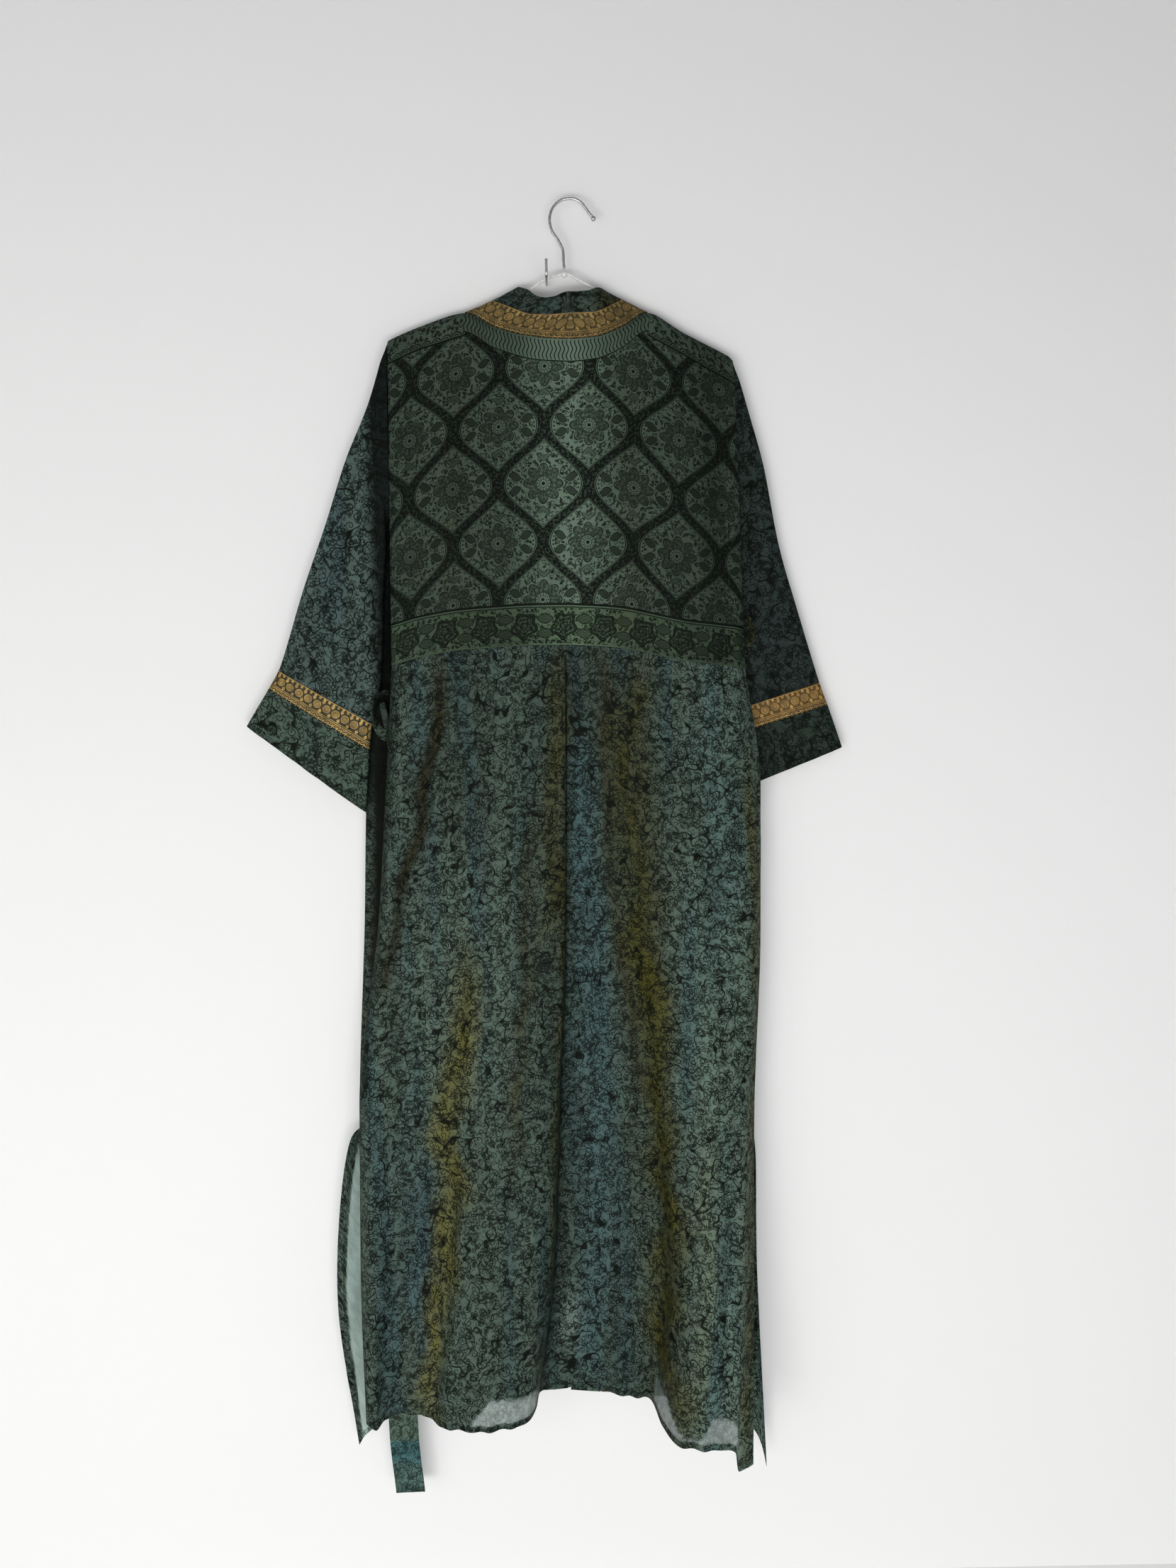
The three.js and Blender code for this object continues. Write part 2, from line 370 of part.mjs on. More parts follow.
const mix = (a, b, t) => a.clone().lerp(b, t);
for (const side of ["left", "right"]) {
  const rows = band(side);
  const gold = rows.map(([s, g]) => [s, mix(s, g, 0.5), g]);
  const plain = rows.map(([, g, e]) => [g, mix(g, e, 0.5), e]);
  const flip = side === "left";
  put(`neckband_border_${side}`, wall(trim(gold, { bottom: GAP, left: 3 * GAP, right: GAP }), BAND, { flip }), "gold");
  put(`neckband_${side}`, wall(trim(plain, { bottom: GAP, left: 3 * GAP }), BAND, { flip }), "silk");
}

// sleeves, gold borders and cuffs
for (const [side, table] of [["left", SLEEVE_LEFT], ["right", SLEEVE_RIGHT]]) {
  const flip = side === "right", last = Object.keys(table).length - 1;
  const tube = (from, to, steps) => wall(trim(sleeveRings(table, from, to, steps), { top: GAP, bottom: GAP }), CLOTH, { close: true, flip });
  put(`sleeve_${side}`, tube(0, BORDER_UP, 8), "sleeve");
  put(`sleeve_border_${side}`, tube(BORDER_UP, BORDER_LO, 2), "gold");
  put(`cuff_${side}`, tube(BORDER_LO, last, 4), "sleeve");
}

// belt loops and belt
put("belt_loop_left", wall(stripGrid(LOOP_LEFT, 2, 2), STRIP, { flip: true }), "silk");
put("belt_loop_right", wall(stripGrid(LOOP_RIGHT, 2, 2), STRIP), "silk");
put("belt", wall(stripGrid(BELT, 2, 2), STRIP, { flip: true }), "silk");

// hanger and wall hook
const flat = (line) => line.map(([x, z]) => [x, z, HANGER_OUT]);
put("hanger_arms", wire(flat(ARMS_LINE), HANGER_WIRE, 8, 48), "coated");
put("hanger_hook", wire(flat(HOOK_LINE), HOOK_WIRE, 10, 40), "satin");
put("wall_hook", wire(NAIL_LINE, NAIL_WIRE, 10, 24), "satin");

export default robe;
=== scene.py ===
import math
import bpy
import numpy as np
from mathutils import Matrix, Vector

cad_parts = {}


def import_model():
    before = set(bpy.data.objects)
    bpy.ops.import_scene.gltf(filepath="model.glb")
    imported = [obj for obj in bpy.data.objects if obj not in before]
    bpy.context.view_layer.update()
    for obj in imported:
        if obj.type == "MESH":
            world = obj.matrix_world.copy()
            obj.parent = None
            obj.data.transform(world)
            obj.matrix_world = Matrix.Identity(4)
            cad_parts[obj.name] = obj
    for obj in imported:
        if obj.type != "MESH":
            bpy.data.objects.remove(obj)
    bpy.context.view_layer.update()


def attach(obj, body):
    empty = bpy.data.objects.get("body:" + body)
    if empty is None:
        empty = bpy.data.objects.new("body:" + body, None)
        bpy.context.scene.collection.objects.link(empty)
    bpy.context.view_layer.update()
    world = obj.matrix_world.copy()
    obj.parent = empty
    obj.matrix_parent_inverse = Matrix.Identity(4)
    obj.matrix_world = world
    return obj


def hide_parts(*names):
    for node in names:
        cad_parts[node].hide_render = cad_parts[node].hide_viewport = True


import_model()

# A long kimono-style robe of thin printed silk on a wire hanger and wall hook.
# Tables are in millimetres as (x, z, out): out is the distance from the wall,
# so the point in the frame is (x, -out, z).  They are the CAD model's tables.
BACK_YOKE = {
    "edge_left": [(-184, -63, 12.2), (-184.5, -68, 16), (-186, -205, 21), (-189, -434, 27)],
    "roll_left": [(-180, -61, 12.2), (-180, -66, 17), (-179, -205, 28), (-179, -432, 38)],
    "shoulder_left": [(-145, -47, 12.2), (-145, -52, 17), (-148, -205, 34), (-152, -425, 44)],
    "neck_left": [(-95, -33, 12.2), (-96, -39, 17.5), (-103, -205, 37), (-109, -418, 46)],
    "collar_a": [(-61, -51, 20), (-61, -56, 22), (-63, -205, 38), (-65, -415, 46)],
    "collar_b": [(-27, -62, 26), (-27, -67, 27), (-26, -205, 38), (-20, -413, 45)],
    "collar_c": [(4, -67, 30), (4, -72, 30.5), (5, -205, 38), (6, -413, 44)],
    "centre": [(26, -68, 31), (26, -73, 31.5), (22, -205, 37), (16, -413, 41)],
    "collar_d": [(55, -65, 28), (55, -70, 29), (50, -205, 38), (38, -414, 42)],
    "collar_e": [(88, -51, 20), (88, -56, 22), (83, -205, 40), (75, -417, 46)],
    "neck_right": [(115, -35, 12.2), (116, -41, 17.5), (114, -205, 41), (111, -424, 49)],
    "shoulder_right": [(157, -58, 12.2), (157, -63, 17), (155, -205, 38), (152, -433, 50)],
    "roll_right": [(209, -85, 12.2), (209, -90, 17), (211, -205, 28), (216, -441, 38)],
    "edge_right": [(213, -89, 12.2), (213.5, -94, 15), (218, -205, 20), (226, -443, 27)],
}
BACK_SKIRT = {
    "seam_left": [(-187, -435, 23.5), (-164, -577, 23), (-168, -738, 24.5), (-178, -962, 28), (-234, -1171, 52), (-229, -1346, 80)],
    "under_left": [(-188, -434.5, 25), (-186, -577, 26), (-200, -738, 28.5), (-226, -963, 34), (-240, -1171, 52.5), (-235, -1344, 81)],
    "edge_left": [(-189, -434, 27), (-200, -577, 29), (-213, -738, 33), (-242, -963, 40), (-244, -1170, 58), (-238, -1342, 86)],
    "roll_left": [(-179, -432, 38), (-188, -576, 42), (-201, -736, 46), (-227, -958, 54), (-229, -1162, 74), (-225, -1346, 94)],
    "side_tuck": [(-170, -430, 42), (-178, -576, 45), (-191, -735, 48), (-216, -958, 56), (-219, -1163, 72), (-216, -1343, 78)],
    "valley_a": [(-152, -425, 44), (-161, -576, 46), (-172, -736, 48), (-193, -959, 54), (-194, -1169, 62), (-193, -1343, 68)],
    "lobe_a_start": [(-109, -418, 46), (-118, -576, 48), (-113, -736, 50), (-129, -959, 57), (-142, -1168, 66), (-164, -1343, 74)],
    "lobe_a_left": [(-87, -416, 46), (-94, -576, 51), (-94, -735, 56), (-107, -955, 66), (-120, -1160, 80), (-145, -1347, 92)],
    "lobe_a_mid": [(-65, -415, 46), (-64, -577, 52), (-64, -735, 58), (-73, -955, 69), (-84, -1158, 85), (-101, -1349, 96)],
    "lobe_a_right": [(-20, -413, 45), (-23, -577, 50), (-27, -736, 55), (-35, -957, 65), (-46, -1163, 78), (-60, -1349, 90)],
    "lobe_a_turn": [(6, -413, 44), (3, -578, 47), (0, -738, 50), (-11, -960, 58), (-23, -1169, 68), (-41, -1348, 77)],
    "pleat_edge": [(14.5, -413, 41), (13, -579, 42), (10, -739, 44), (-1, -964, 49), (-12, -1178, 52), (-34, -1348, 52)],
    "pleat_in": [(16, -413.5, 36), (14, -580, 33), (11, -742, 31), (1, -971, 31), (-10, -1190, 30), (-31, -1346, 26)],
    "recess_left": [(18, -413.5, 35.5), (17, -580, 31.5), (16, -743, 28), (11, -974, 25), (6, -1195, 21), (-10, -1345, 18)],
    "recess_mid": [(24, -413.5, 37), (27, -580, 32), (31, -743, 29), (35, -973, 26), (39, -1196, 21), (19, -1345, 17)],
    "recess_right": [(38, -414, 40), (47, -580, 35), (56, -742, 33), (78, -972, 32), (88, -1193, 28), (66, -1352, 23)],
    "lobe_b_start": [(56, -415, 43), (68, -580, 40), (85, -741, 40), (110, -968, 44), (123, -1181, 50), (107, -1354, 32)],
    "lobe_b_turn": [(75, -417, 46), (88, -579, 48), (106, -739, 52), (129, -960, 64), (135, -1164, 82), (119, -1352, 86)],
    "lobe_b_left": [(95, -420, 48), (107, -579, 52), (128, -738, 58), (149, -957, 72), (152, -1156, 97), (134, -1354, 120)],
    "lobe_b_mid": [(131, -429, 50), (149, -579, 54), (166, -738, 61), (178, -955, 78), (178, -1151, 106), (162, -1355, 128)],
    "valley_b": [(172, -436, 49), (191, -580, 52), (201, -739, 57), (209, -960, 68), (200, -1159, 92), (188, -1357, 124)],
    "lobe_c": [(200, -440, 44), (214, -581, 49), (221, -740, 55), (221, -962, 64), (213, -1160, 92), (202, -1360, 128)],
    "roll_right": [(216, -441, 38), (230, -582, 43), (236, -742, 48), (228, -965, 56), (223, -1165, 82), (206, -1383, 128)],
    "edge_right": [(226, -443, 27), (244, -583, 30), (244, -745, 34), (236, -970, 42), (232, -1172, 70), (224, -1379, 120)],
}
FRONT_LEFT = {
    "seam": [(-184, -63.2, 11.8), (-184.5, -68, 9), (-186, -110, 8), (-186, -262, 12), (-188, -340, 18.5), (-187, -435, 21), (-164, -577, 20.5), (-167, -740, 21.5), (-177, -960, 24), (-256.5, -1010, 21.5), (-281.5, -1215, 20), (-261, -1416, 20)],
    "turn": [(-179, -61, 11.8), (-179, -65.5, 7.8), (-180, -110, 6.4), (-182, -262, 9.5), (-187, -340, 13.5), (-188, -435, 16), (-172, -577, 15.5), (-178, -740, 16), (-192, -960, 17.5), (-251.5, -1012, 18.5), (-271.5, -1212, 18), (-256, -1408, 18)],
    "strip": [(-173, -58.4, 11.8), (-173, -63, 7.5), (-174, -110, 5.8), (-187, -262, 8.2), (-192, -340, 8.8), (-199, -435, 10), (-203, -577, 12.6), (-207, -740, 14.5), (-220, -960, 16), (-248.5, -1015, 16.5), (-260, -1208, 17), (-249, -1401, 17)],
    "bulge": [(-167, -56, 11.8), (-167, -60.6, 7.5), (-168, -110, 5.6), (-195, -262, 5.2), (-202, -340, 5.4), (-210, -435, 6.2), (-226, -577, 8.4), (-233, -740, 13), (-246, -960, 14), (-246, -1020, 14.8), (-246.5, -1200, 15.5), (-240, -1394, 16)],
    "behind": [(-158, -52.3, 11.8), (-158, -57, 7.5), (-160, -110, 5.5), (-180, -262, 3.2), (-188, -340, 2.6), (-196, -435, 2.8), (-209, -577, 4.6), (-220, -740, 7), (-232, -960, 9), (-230, -1028, 11), (-226, -1180, 14), (-220, -1383, 15)],
    "side": [(-140, -45.4, 11.8), (-140, -50, 7.5), (-140, -110, 5.5), (-142, -262, 5.5), (-148, -340, 4.8), (-152, -435, 5), (-165, -577, 6), (-175, -740, 7), (-185, -960, 9), (-187, -1035, 10), (-190, -1165, 12), (-190, -1374, 14)],
    "mid": [(-118, -39.6, 11.8), (-118, -44, 7.6), (-115, -110, 5.5), (-110, -262, 6), (-104, -340, 6), (-104, -435, 7), (-108, -577, 8), (-112, -740, 9), (-116, -960, 10), (-117, -1035, 10.5), (-118, -1165, 12), (-120, -1358, 14)],
    "neckband": [(-95, -33.2, 11.8), (-95, -38, 8), (-88, -110, 6), (-76, -262, 6), (-58, -340, 7), (-54, -435, 8), (-54, -577, 9), (-54, -740, 10), (-54, -960, 11), (-54, -1035, 11.3), (-54, -1165, 12), (-54, -1352, 12)],
}
FRONT_RIGHT = {
    "seam": [(213, -89.2, 11.8), (213, -94, 9), (212.5, -130, 9), (210, -262, 17), (213, -340, 20), (223, -435, 24.5), (240, -577, 27.5), (240, -740, 31.5), (233, -965, 39), (240, -1045, 27), (242, -1165, 22), (256, -1455, 20)],
    "bulge": [(209, -86, 11.8), (209, -90.6, 8), (208, -130, 8), (206, -262, 16.8), (210, -340, 18.4), (221, -435, 19.5), (238, -577, 21), (238, -740, 24), (231, -965, 28), (236, -1045, 23), (238, -1165, 20), (250, -1428, 18)],
    "behind": [(200, -81.2, 11.8), (200, -86, 7.5), (198, -130, 7.5), (196, -262, 16.6), (198, -340, 17.2), (208, -435, 17.2), (224, -577, 17.4), (224, -740, 17.6), (218, -965, 18), (221, -1045, 17.5), (220, -1165, 17), (236, -1402, 17)],
    "side": [(157, -58.2, 11.8), (157, -63, 7.5), (157, -130, 6.5), (157, -262, 15), (160, -340, 16.8), (165, -435, 17), (168, -577, 17), (168, -740, 15), (168, -965, 13), (169, -1040, 13.3), (170, -1165, 14), (185, -1386, 15)],
    "mid": [(135, -46.2, 11.8), (135, -51, 7.5), (130, -110, 6), (125, -262, 7), (120, -340, 8), (118, -435, 9), (118, -577, 10), (118, -740, 10), (118, -965, 10), (118, -1040, 10.6), (118, -1165, 12), (130, -1363, 14)],
    "neckband": [(115, -35.2, 11.8), (115, -40, 8), (110, -110, 6), (98, -262, 7), (72, -340, 8), (68, -435, 9), (68, -577, 9), (68, -740, 10), (68, -960, 11), (68, -1035, 11.3), (68, -1165, 12), (68, -1356, 13)],
}
NECK_BACK = {
    "neck_left": {"border": (-63, -20, 12), "edge": (-33, -5, 12)},
    "collar_a": {"border": (-46, -27, 19.5), "edge": (-22, -10, 18.5)},
    "collar_b": {"border": (-18, -38, 25), "edge": (-9, -19, 23)},
    "collar_c": {"border": (5, -39.5, 28), "edge": (5, -21, 26)},
    "centre": {"border": (26, -39, 31), "edge": (22, -16, 30.5)},
    "collar_d": {"border": (52, -37.5, 29), "edge": (42, -15, 28)},
    "collar_e": {"border": (74, -27, 20), "edge": (57, -9, 19.5)},
    "neck_right": {"border": (85, -20, 12), "edge": (63, -8, 12)},
}
NECK_FRONT = {
    "left": {
        "border": [(-64, -20.2, 11.7), (-65, -27, 8), (-60, -106, 6), (-48, -258, 6), (-30, -338, 7), (-26, -435, 8), (-26, -577, 9), (-26, -740, 10), (-26, -960, 11), (-26, -1035, 11.3), (-26, -1165, 12), (-26, -1352, 12)],
        "edge": [(-33, -5.2, 11.7), (-34, -13, 8), (-30, -100, 6), (-18, -252, 6), (0, -334, 7), (4, -435, 8), (4, -577, 9), (4, -740, 10), (4, -960, 11), (4, -1035, 11.3), (4, -1165, 12), (4, -1350, 12)],
    },
    "right": {
        "border": [(85, -20.2, 11.7), (86, -27, 8), (82, -106, 6), (70, -258, 7), (46, -338, 8), (42, -435, 9), (42, -577, 9), (42, -740, 10), (42, -960, 11), (42, -1035, 11.3), (44, -1165, 12), (46, -1355, 12.5)],
        "edge": [(63, -8.2, 11.7), (63, -16, 8), (52, -100, 6), (40, -252, 7), (14, -334, 8), (8, -435, 9), (8, -577, 9), (8, -740, 10), (8, -960, 11), (8, -1035, 11.3), (8, -1165, 12), (8, -1352, 12)],
    },
}
SLEEVE_LEFT = {
    "armhole": {"top": (-187, -68), "low": (-191, -262), "out": 15.5, "half": 6.5},
    "upper_1": {"top": (-208, -132), "low": (-193, -302), "out": 15, "half": 7.5},
    "upper_2": {"top": (-237, -197), "low": (-197, -350), "out": 14, "half": 8.5},
    "middle_1": {"top": (-263, -270), "low": (-199.5, -400), "out": 14, "half": 9},
    "middle_2": {"top": (-291, -343), "low": (-203, -448), "out": 14, "half": 9},
    "border_up": {"top": (-324, -438), "low": (-216, -503), "out": 14, "half": 8.5},
    "border_lo": {"top": (-337, -460), "low": (-220, -535), "out": 14, "half": 8.5},
    "cuff_mid": {"top": (-351, -482), "low": (-223.5, -572), "out": 14, "half": 8},
    "hem": {"top": (-365, -504), "low": (-227, -609), "out": 14, "half": 8},
}
SLEEVE_RIGHT = {
    "armhole": {"top": (215.5, -93), "low": (217, -262), "out": 11.5, "half": 6},
    "upper_1": {"top": (234, -154), "low": (214, -305), "out": 10, "half": 6.5},
    "upper_2": {"top": (249, -206), "low": (210, -352), "out": 9.5, "half": 6.5},
    "middle_1": {"top": (268, -300), "low": (205, -410), "out": 9, "half": 6},
    "middle_2": {"top": (291, -378), "low": (201, -460), "out": 9, "half": 6},
    "border_up": {"top": (317, -461), "low": (196, -499), "out": 9, "half": 6},
    "border_lo": {"top": (327, -488), "low": (193, -528), "out": 9, "half": 6},
    "cuff_mid": {"top": (336, -513), "low": (188, -565), "out": 9, "half": 6},
    "hem": {"top": (345, -539), "low": (182, -603), "out": 9, "half": 6},
}
LOOP_LEFT = {
    "sewn_top": {"at": (-193.5, -466, 26), "half": (1, 3.2, 4)},
    "top": {"at": (-201, -467, 27), "half": (1, 2, 5.2)},
    "shoulder": {"at": (-208, -474, 28), "half": (-0.8, 1.2, 5.4)},
    "side": {"at": (-211, -489, 28.5), "half": (-0.6, 0, 5.5)},
    "low": {"at": (-208.5, -503, 29.2), "half": (-2.5, -1.5, 5)},
    "bottom": {"at": (-202.5, -513.4, 29.2), "half": (-2.5, -4.6, 3.4)},
    "sewn_low": {"at": (-198.2, -517, 26.5), "half": (-0.8, -6.2, 1.6)},
}
LOOP_RIGHT = {
    "sewn_top": {"at": (226.3, -384, 27), "half": (1, 3, 4)},
    "top": {"at": (230, -388, 27.5), "half": (1.6, 2, 4.6)},
    "side": {"at": (233.4, -399, 28), "half": (1.4, 0, 5.4)},
    "bottom": {"at": (231, -411, 28), "half": (1.8, -2.6, 4.6)},
    "sewn_low": {"at": (227.8, -414, 27), "half": (0.8, -4, 3.4)},
}
BELT = {
    "end_short": {"at": (-200, -1150, 32), "half": (17.5, 0, 0)},
    "short_low": {"at": (-200, -1050, 33), "half": (12, 0, 0)},
    "short_slit": {"at": (-202, -960, 27), "half": (8, 0, 0)},
    "short_knee": {"at": (-192, -750, 22.4), "half": (6.5, 0, 0)},
    "short_hip": {"at": (-183, -600, 20.6), "half": (6, 0, 0)},
    "short_loop": {"at": (-193.5, -532, 21.4), "half": (3.6, 0, 0)},
    "over_back": {"at": (-199.5, -492, 23.4), "half": (3.4, 1.4, -1)},
    "over_top": {"at": (-202.6, -478.5, 22), "half": (3.2, 1.4, -1)},
    "over_front": {"at": (-201.4, -487, 19.6), "half": (3.2, 1.4, -1)},
    "long_loop": {"at": (-193, -533, 18.2), "half": (3.6, 0, 0)},
    "long_hip": {"at": (-184, -600, 17.6), "half": (6, 0, 0)},
    "long_knee": {"at": (-193, -750, 18.8), "half": (6.5, 0, 0)},
    "long_slit": {"at": (-204, -960, 23.4), "half": (8, 0, 0)},
    "long_low": {"at": (-203, -1050, 27.6), "half": (12, 0, 0)},
    "long_wide": {"at": (-203, -1150, 27), "half": (17.5, 0, 0)},
    "long_hem": {"at": (-203, -1375, 27), "half": (18.2, 0, 0)},
    "end_long": {"at": (-196.5, -1476, 27), "half": (18.2, 0.6, 0)},
}
HOOK_LINE = [(20, 14.4), (19.4, 24), (19, 34), (13, 47), (6, 58), (4, 69), (6.5, 79), (12.5, 86.5), (21, 91), (30, 91.5), (39, 88), (46, 80), (50, 74.5), (53.5, 71)]
ARMS_LINE = [(-177, -64.5), (-145, -54), (-95, -42.4), (-33, -16), (0, 4.1), (14, 8.2), (20, 9.8), (26, 8), (38, 1.5), (51, -6), (66, -19.5), (115, -45.4), (157, -65.4), (202, -88.8)]
NAIL_LINE = [(0, 0, 0), (0, 0, 12), (0, 0, 26), (0, 0.2, 35), (0, 3.2, 38), (0, 18, 38)]
NECK_LEFT, CENTRE, NECK_RIGHT = 3, 7, 10
BORDER_UP, BORDER_LO = 5, 6
HANGER_OUT = 12
CLOTH, STRAP = 0.5, 1.0       # thickness of the silk and of what is folded double


# ------------------------------------------------------------------ curves
def track(v):
    """Smooth curve through values at 0, 1, 2 ... that never overshoots them."""
    v = np.asarray(v, float)
    s = np.diff(v, axis=0)
    a, b = np.concatenate([s[:1], s]), np.concatenate([s, s[-1:]])
    den = np.where(a * b <= 0, 1.0, a + b)
    m = np.where(a * b <= 0, 0.0, 2 * a * b / den)

    def at(t):
        t = np.asarray(t, float)
        i = np.clip(np.floor(t).astype(int), 0, len(v) - 2)
        f = (t - i).reshape(t.shape + (1,) * (v.ndim - 1))
        return ((2 * f**3 - 3 * f**2 + 1) * v[i] + (f**3 - 2 * f**2 + f) * m[i]
                + (3 * f**2 - 2 * f**3) * v[i + 1] + (f**3 - f**2) * m[i + 1])

    return at


def stops(t, axis, size, least=2):
    """Places along an axis of a table, about `size` apart where it is widest."""
    t = np.asarray(t, float)
    d = np.linalg.norm(np.diff(t, axis=axis), axis=-1).max(axis=1 - axis)
    out = [np.linspace(i, i + 1, max(least, int(math.ceil(w / size))), endpoint=False) for i, w in enumerate(d)]
    return np.concatenate(out + [[len(d)]])


def weave(table, us, vs):
    """Points (level, station, xzo) of a table at the given places."""
    t = np.asarray(list(table.values()), float)
    down = track(t.transpose(1, 0, 2))(vs)
    return track(down.transpose(1, 0, 2))(us).transpose(1, 0, 2)


def world(p):
    return np.stack([p[..., 0], -p[..., 2], p[..., 1]], axis=-1)


def smooth(x, a, b):
    t = np.clip((np.asarray(x, float) - a) / (b - a), 0, 1)
    return t * t * (3 - 2 * t)


def arcs(w, ref=0):
    """Lengths along the rows from column `ref`, and down the columns."""
    u = np.concatenate([np.zeros((w.shape[0], 1)), np.linalg.norm(np.diff(w, axis=1), axis=-1).cumsum(1)], axis=1)
    u = u - u[:, ref:ref + 1]
    v = np.concatenate([np.zeros((1, w.shape[1])), np.linalg.norm(np.diff(w, axis=0), axis=-1).cumsum(0)], axis=0)
    return u, v


def outward(w, close=False):
    """Unit normals of a grid of world points; du x dv, before any flip."""
    if close:
        du = np.roll(w, -1, 1) - np.roll(w, 1, 1)
    else:
        du = np.gradient(w, axis=1)
    dv = np.gradient(w, axis=0)
    n = np.cross(du, dv)
    return n / np.maximum(np.linalg.norm(n, axis=-1, keepdims=True), 1e-9)


def crease(p, pts, width, depth, ends=0.22):
    """Soft ridge (depth > 0) or trough along a line of (x, z) points."""
    c = track(pts)(np.linspace(0, len(pts) - 1, 8 * (len(pts) - 1) + 1))
    q = p[..., :2].reshape(-1, 1, 2)
    a, b = c[:-1], c[1:]
    ab = b - a
    t = np.clip(((q - a) * ab).sum(-1) / np.maximum((ab * ab).sum(-1), 1e-9), 0, 1)
    d = np.linalg.norm(q - (a + t[..., None] * ab), axis=-1)
    k = d.argmin(1)
    r = np.arange(len(k))
    s = (k + t[r, k]) / len(a)
    f = np.exp(-(d[r, k] / width) ** 2) * smooth(s, 0, ends) * smooth(1 - s, 0, ends)
    return depth * f.reshape(p.shape[:2])


def ripple(x, z, wx, wz, seed, n=12):
    """Uneven waves about `wx` wide and `wz` long."""
    rng = np.random.default_rng(seed)
    out = np.zeros(np.shape(x))
    for _ in range(n):
        kx = 2 * np.pi / wx * rng.uniform(0.55, 1.5) * rng.choice([-1, 1])
        kz = 2 * np.pi / wz * rng.uniform(0.4, 1.6)
        out += np.sin(kx * x + kz * z + rng.uniform(0, 2 * np.pi))
    return out / math.sqrt(n)


def path_x(pts, z):
    """x of a line of (x, z) points at the heights z."""
    p = np.asarray(sorted(pts, key=lambda q: q[1]), float)
    return np.interp(z, p[:, 1], p[:, 0])


# ------------------------------------------------------------------ meshes
def mesh_object(name, verts, quads, uv=None, attrs=(), sharp=None, extra=None):
    """Mesh from arrays; uv and sharp are per corner and per vertex flag."""
    me = bpy.data.meshes.new(name)
    me.vertices.add(len(verts))
    me.vertices.foreach_set("co", np.asarray(verts, np.float32).ravel())
    k = quads.shape[1]
    me.loops.add(quads.size)
    me.loops.foreach_set("vertex_index", quads.ravel().astype(np.int32))
    me.polygons.add(len(quads))
    me.polygons.foreach_set("loop_start", np.arange(0, quads.size, k, dtype=np.int32))
    me.polygons.foreach_set("use_smooth", np.ones(len(quads), bool))
    me.update(calc_edges=True)
    if uv is not None:
        layer = me.uv_layers.new(name="cut")
        layer.data.foreach_set("uv", np.asarray(uv, np.float32).ravel())
    for label, data in dict(attrs).items():
        data = np.asarray(data, np.float32)
        if data.ndim == 2:
            a = me.attributes.new(label, "FLOAT_COLOR", "POINT")
            a.data.foreach_set("color", np.concatenate([data, np.ones((len(data), 1), np.float32)], axis=1).ravel())
        else:
            me.attributes.new(label, "FLOAT", "POINT").data.foreach_set("value", data)
    if sharp is not None:
        e = np.zeros(len(me.edges) * 2, np.int32)
        me.edges.foreach_get("vertices", e)
        e = e.reshape(-1, 2)
        flag = (sharp[e[:, 0]] > 0) & (sharp[e[:, 0]] == sharp[e[:, 1]])
        a = me.attributes.get("sharp_edge") or me.attributes.new("sharp_edge", "BOOLEAN", "EDGE")
        a.data.foreach_set("value", flag)
    o = bpy.data.objects.new(name, me)
    bpy.context.scene.collection.objects.link(o)
    return o


def shell(name, w, t, uv, attrs, flip=False, close=False, top_dir=None):
    """Thin closed sheet: the grid w (mm, world) is its outer face."""
    n, m = w.shape[:2]
    nn = outward(w, close) * (1 if flip else -1)
    inner = w - nn * t
    if top_dir is not None:
        rows = top_dir[0]
        inner[0, rows] = w[0, rows] - np.array(top_dir[1]) * t
    nv = n * m
    last = m if close else m - 1
    J, I = np.meshgrid(np.arange(n - 1), np.arange(last), indexing="ij")
    J, I = J.ravel(), I.ravel()

    def quad(j0, i0, j1, i1, j2, i2, j3, i3, layers):
        js, is_, ls = np.stack([j0, j1, j2, j3], 1), np.stack([i0, i1, i2, i3], 1), np.array(layers)
        if not flip:
            js, is_, ls = js[:, ::-1], is_[:, ::-1], ls[::-1]
        return js, is_, np.broadcast_to(ls, js.shape)

    parts = [quad(J, I, J, I + 1, J + 1, I + 1, J + 1, I, [0, 0, 0, 0]),
             quad(J, I, J + 1, I, J + 1, I + 1, J, I + 1, [1, 1, 1, 1])]
    i = np.arange(last)
    z, e = np.zeros(last, int), np.full(last, n - 1)
    parts += [quad(z, i, z, i, z, i + 1, z, i + 1, [0, 1, 1, 0]),
              quad(e, i, e, i + 1, e, i + 1, e, i, [0, 0, 1, 1])]
    if not close:
        j = np.arange(n - 1)
        z, e = np.zeros(n - 1, int), np.full(n - 1, m - 1)
        parts += [quad(j, z, j + 1, z, j + 1, z, j, z, [0, 0, 1, 1]),
                  quad(j, e, j, e, j + 1, e, j + 1, e, [0, 1, 1, 0])]
    js = np.concatenate([p[0] for p in parts])
    is_ = np.concatenate([p[1] for p in parts])
    ls = np.concatenate([p[2] for p in parts])
    quads = ls * nv + js * m + (is_ % m if close else is_)
    corner_uv = np.stack([uv[0][js, is_], uv[1][js, is_]], axis=-1) / 100.0
    verts = np.concatenate([w.reshape(-1, 3), inner.reshape(-1, 3)]) / 1000.0
    ring = np.zeros((2, n, m), int)
    for k in (0, 1):
        ring[k, 0, :] = ring[k, -1, :] = k + 1
        if not close:
            ring[k, :, 0] = ring[k, :, -1] = k + 1
    both = {}
    for label, d in attrs.items():
        d = np.asarray(d, float)
        flat = d.reshape(nv, -1) if d.ndim == 3 else d.reshape(nv)
        both[label] = np.concatenate([flat, flat])
    return mesh_object(name, verts, quads, corner_uv, both, ring.reshape(-1))


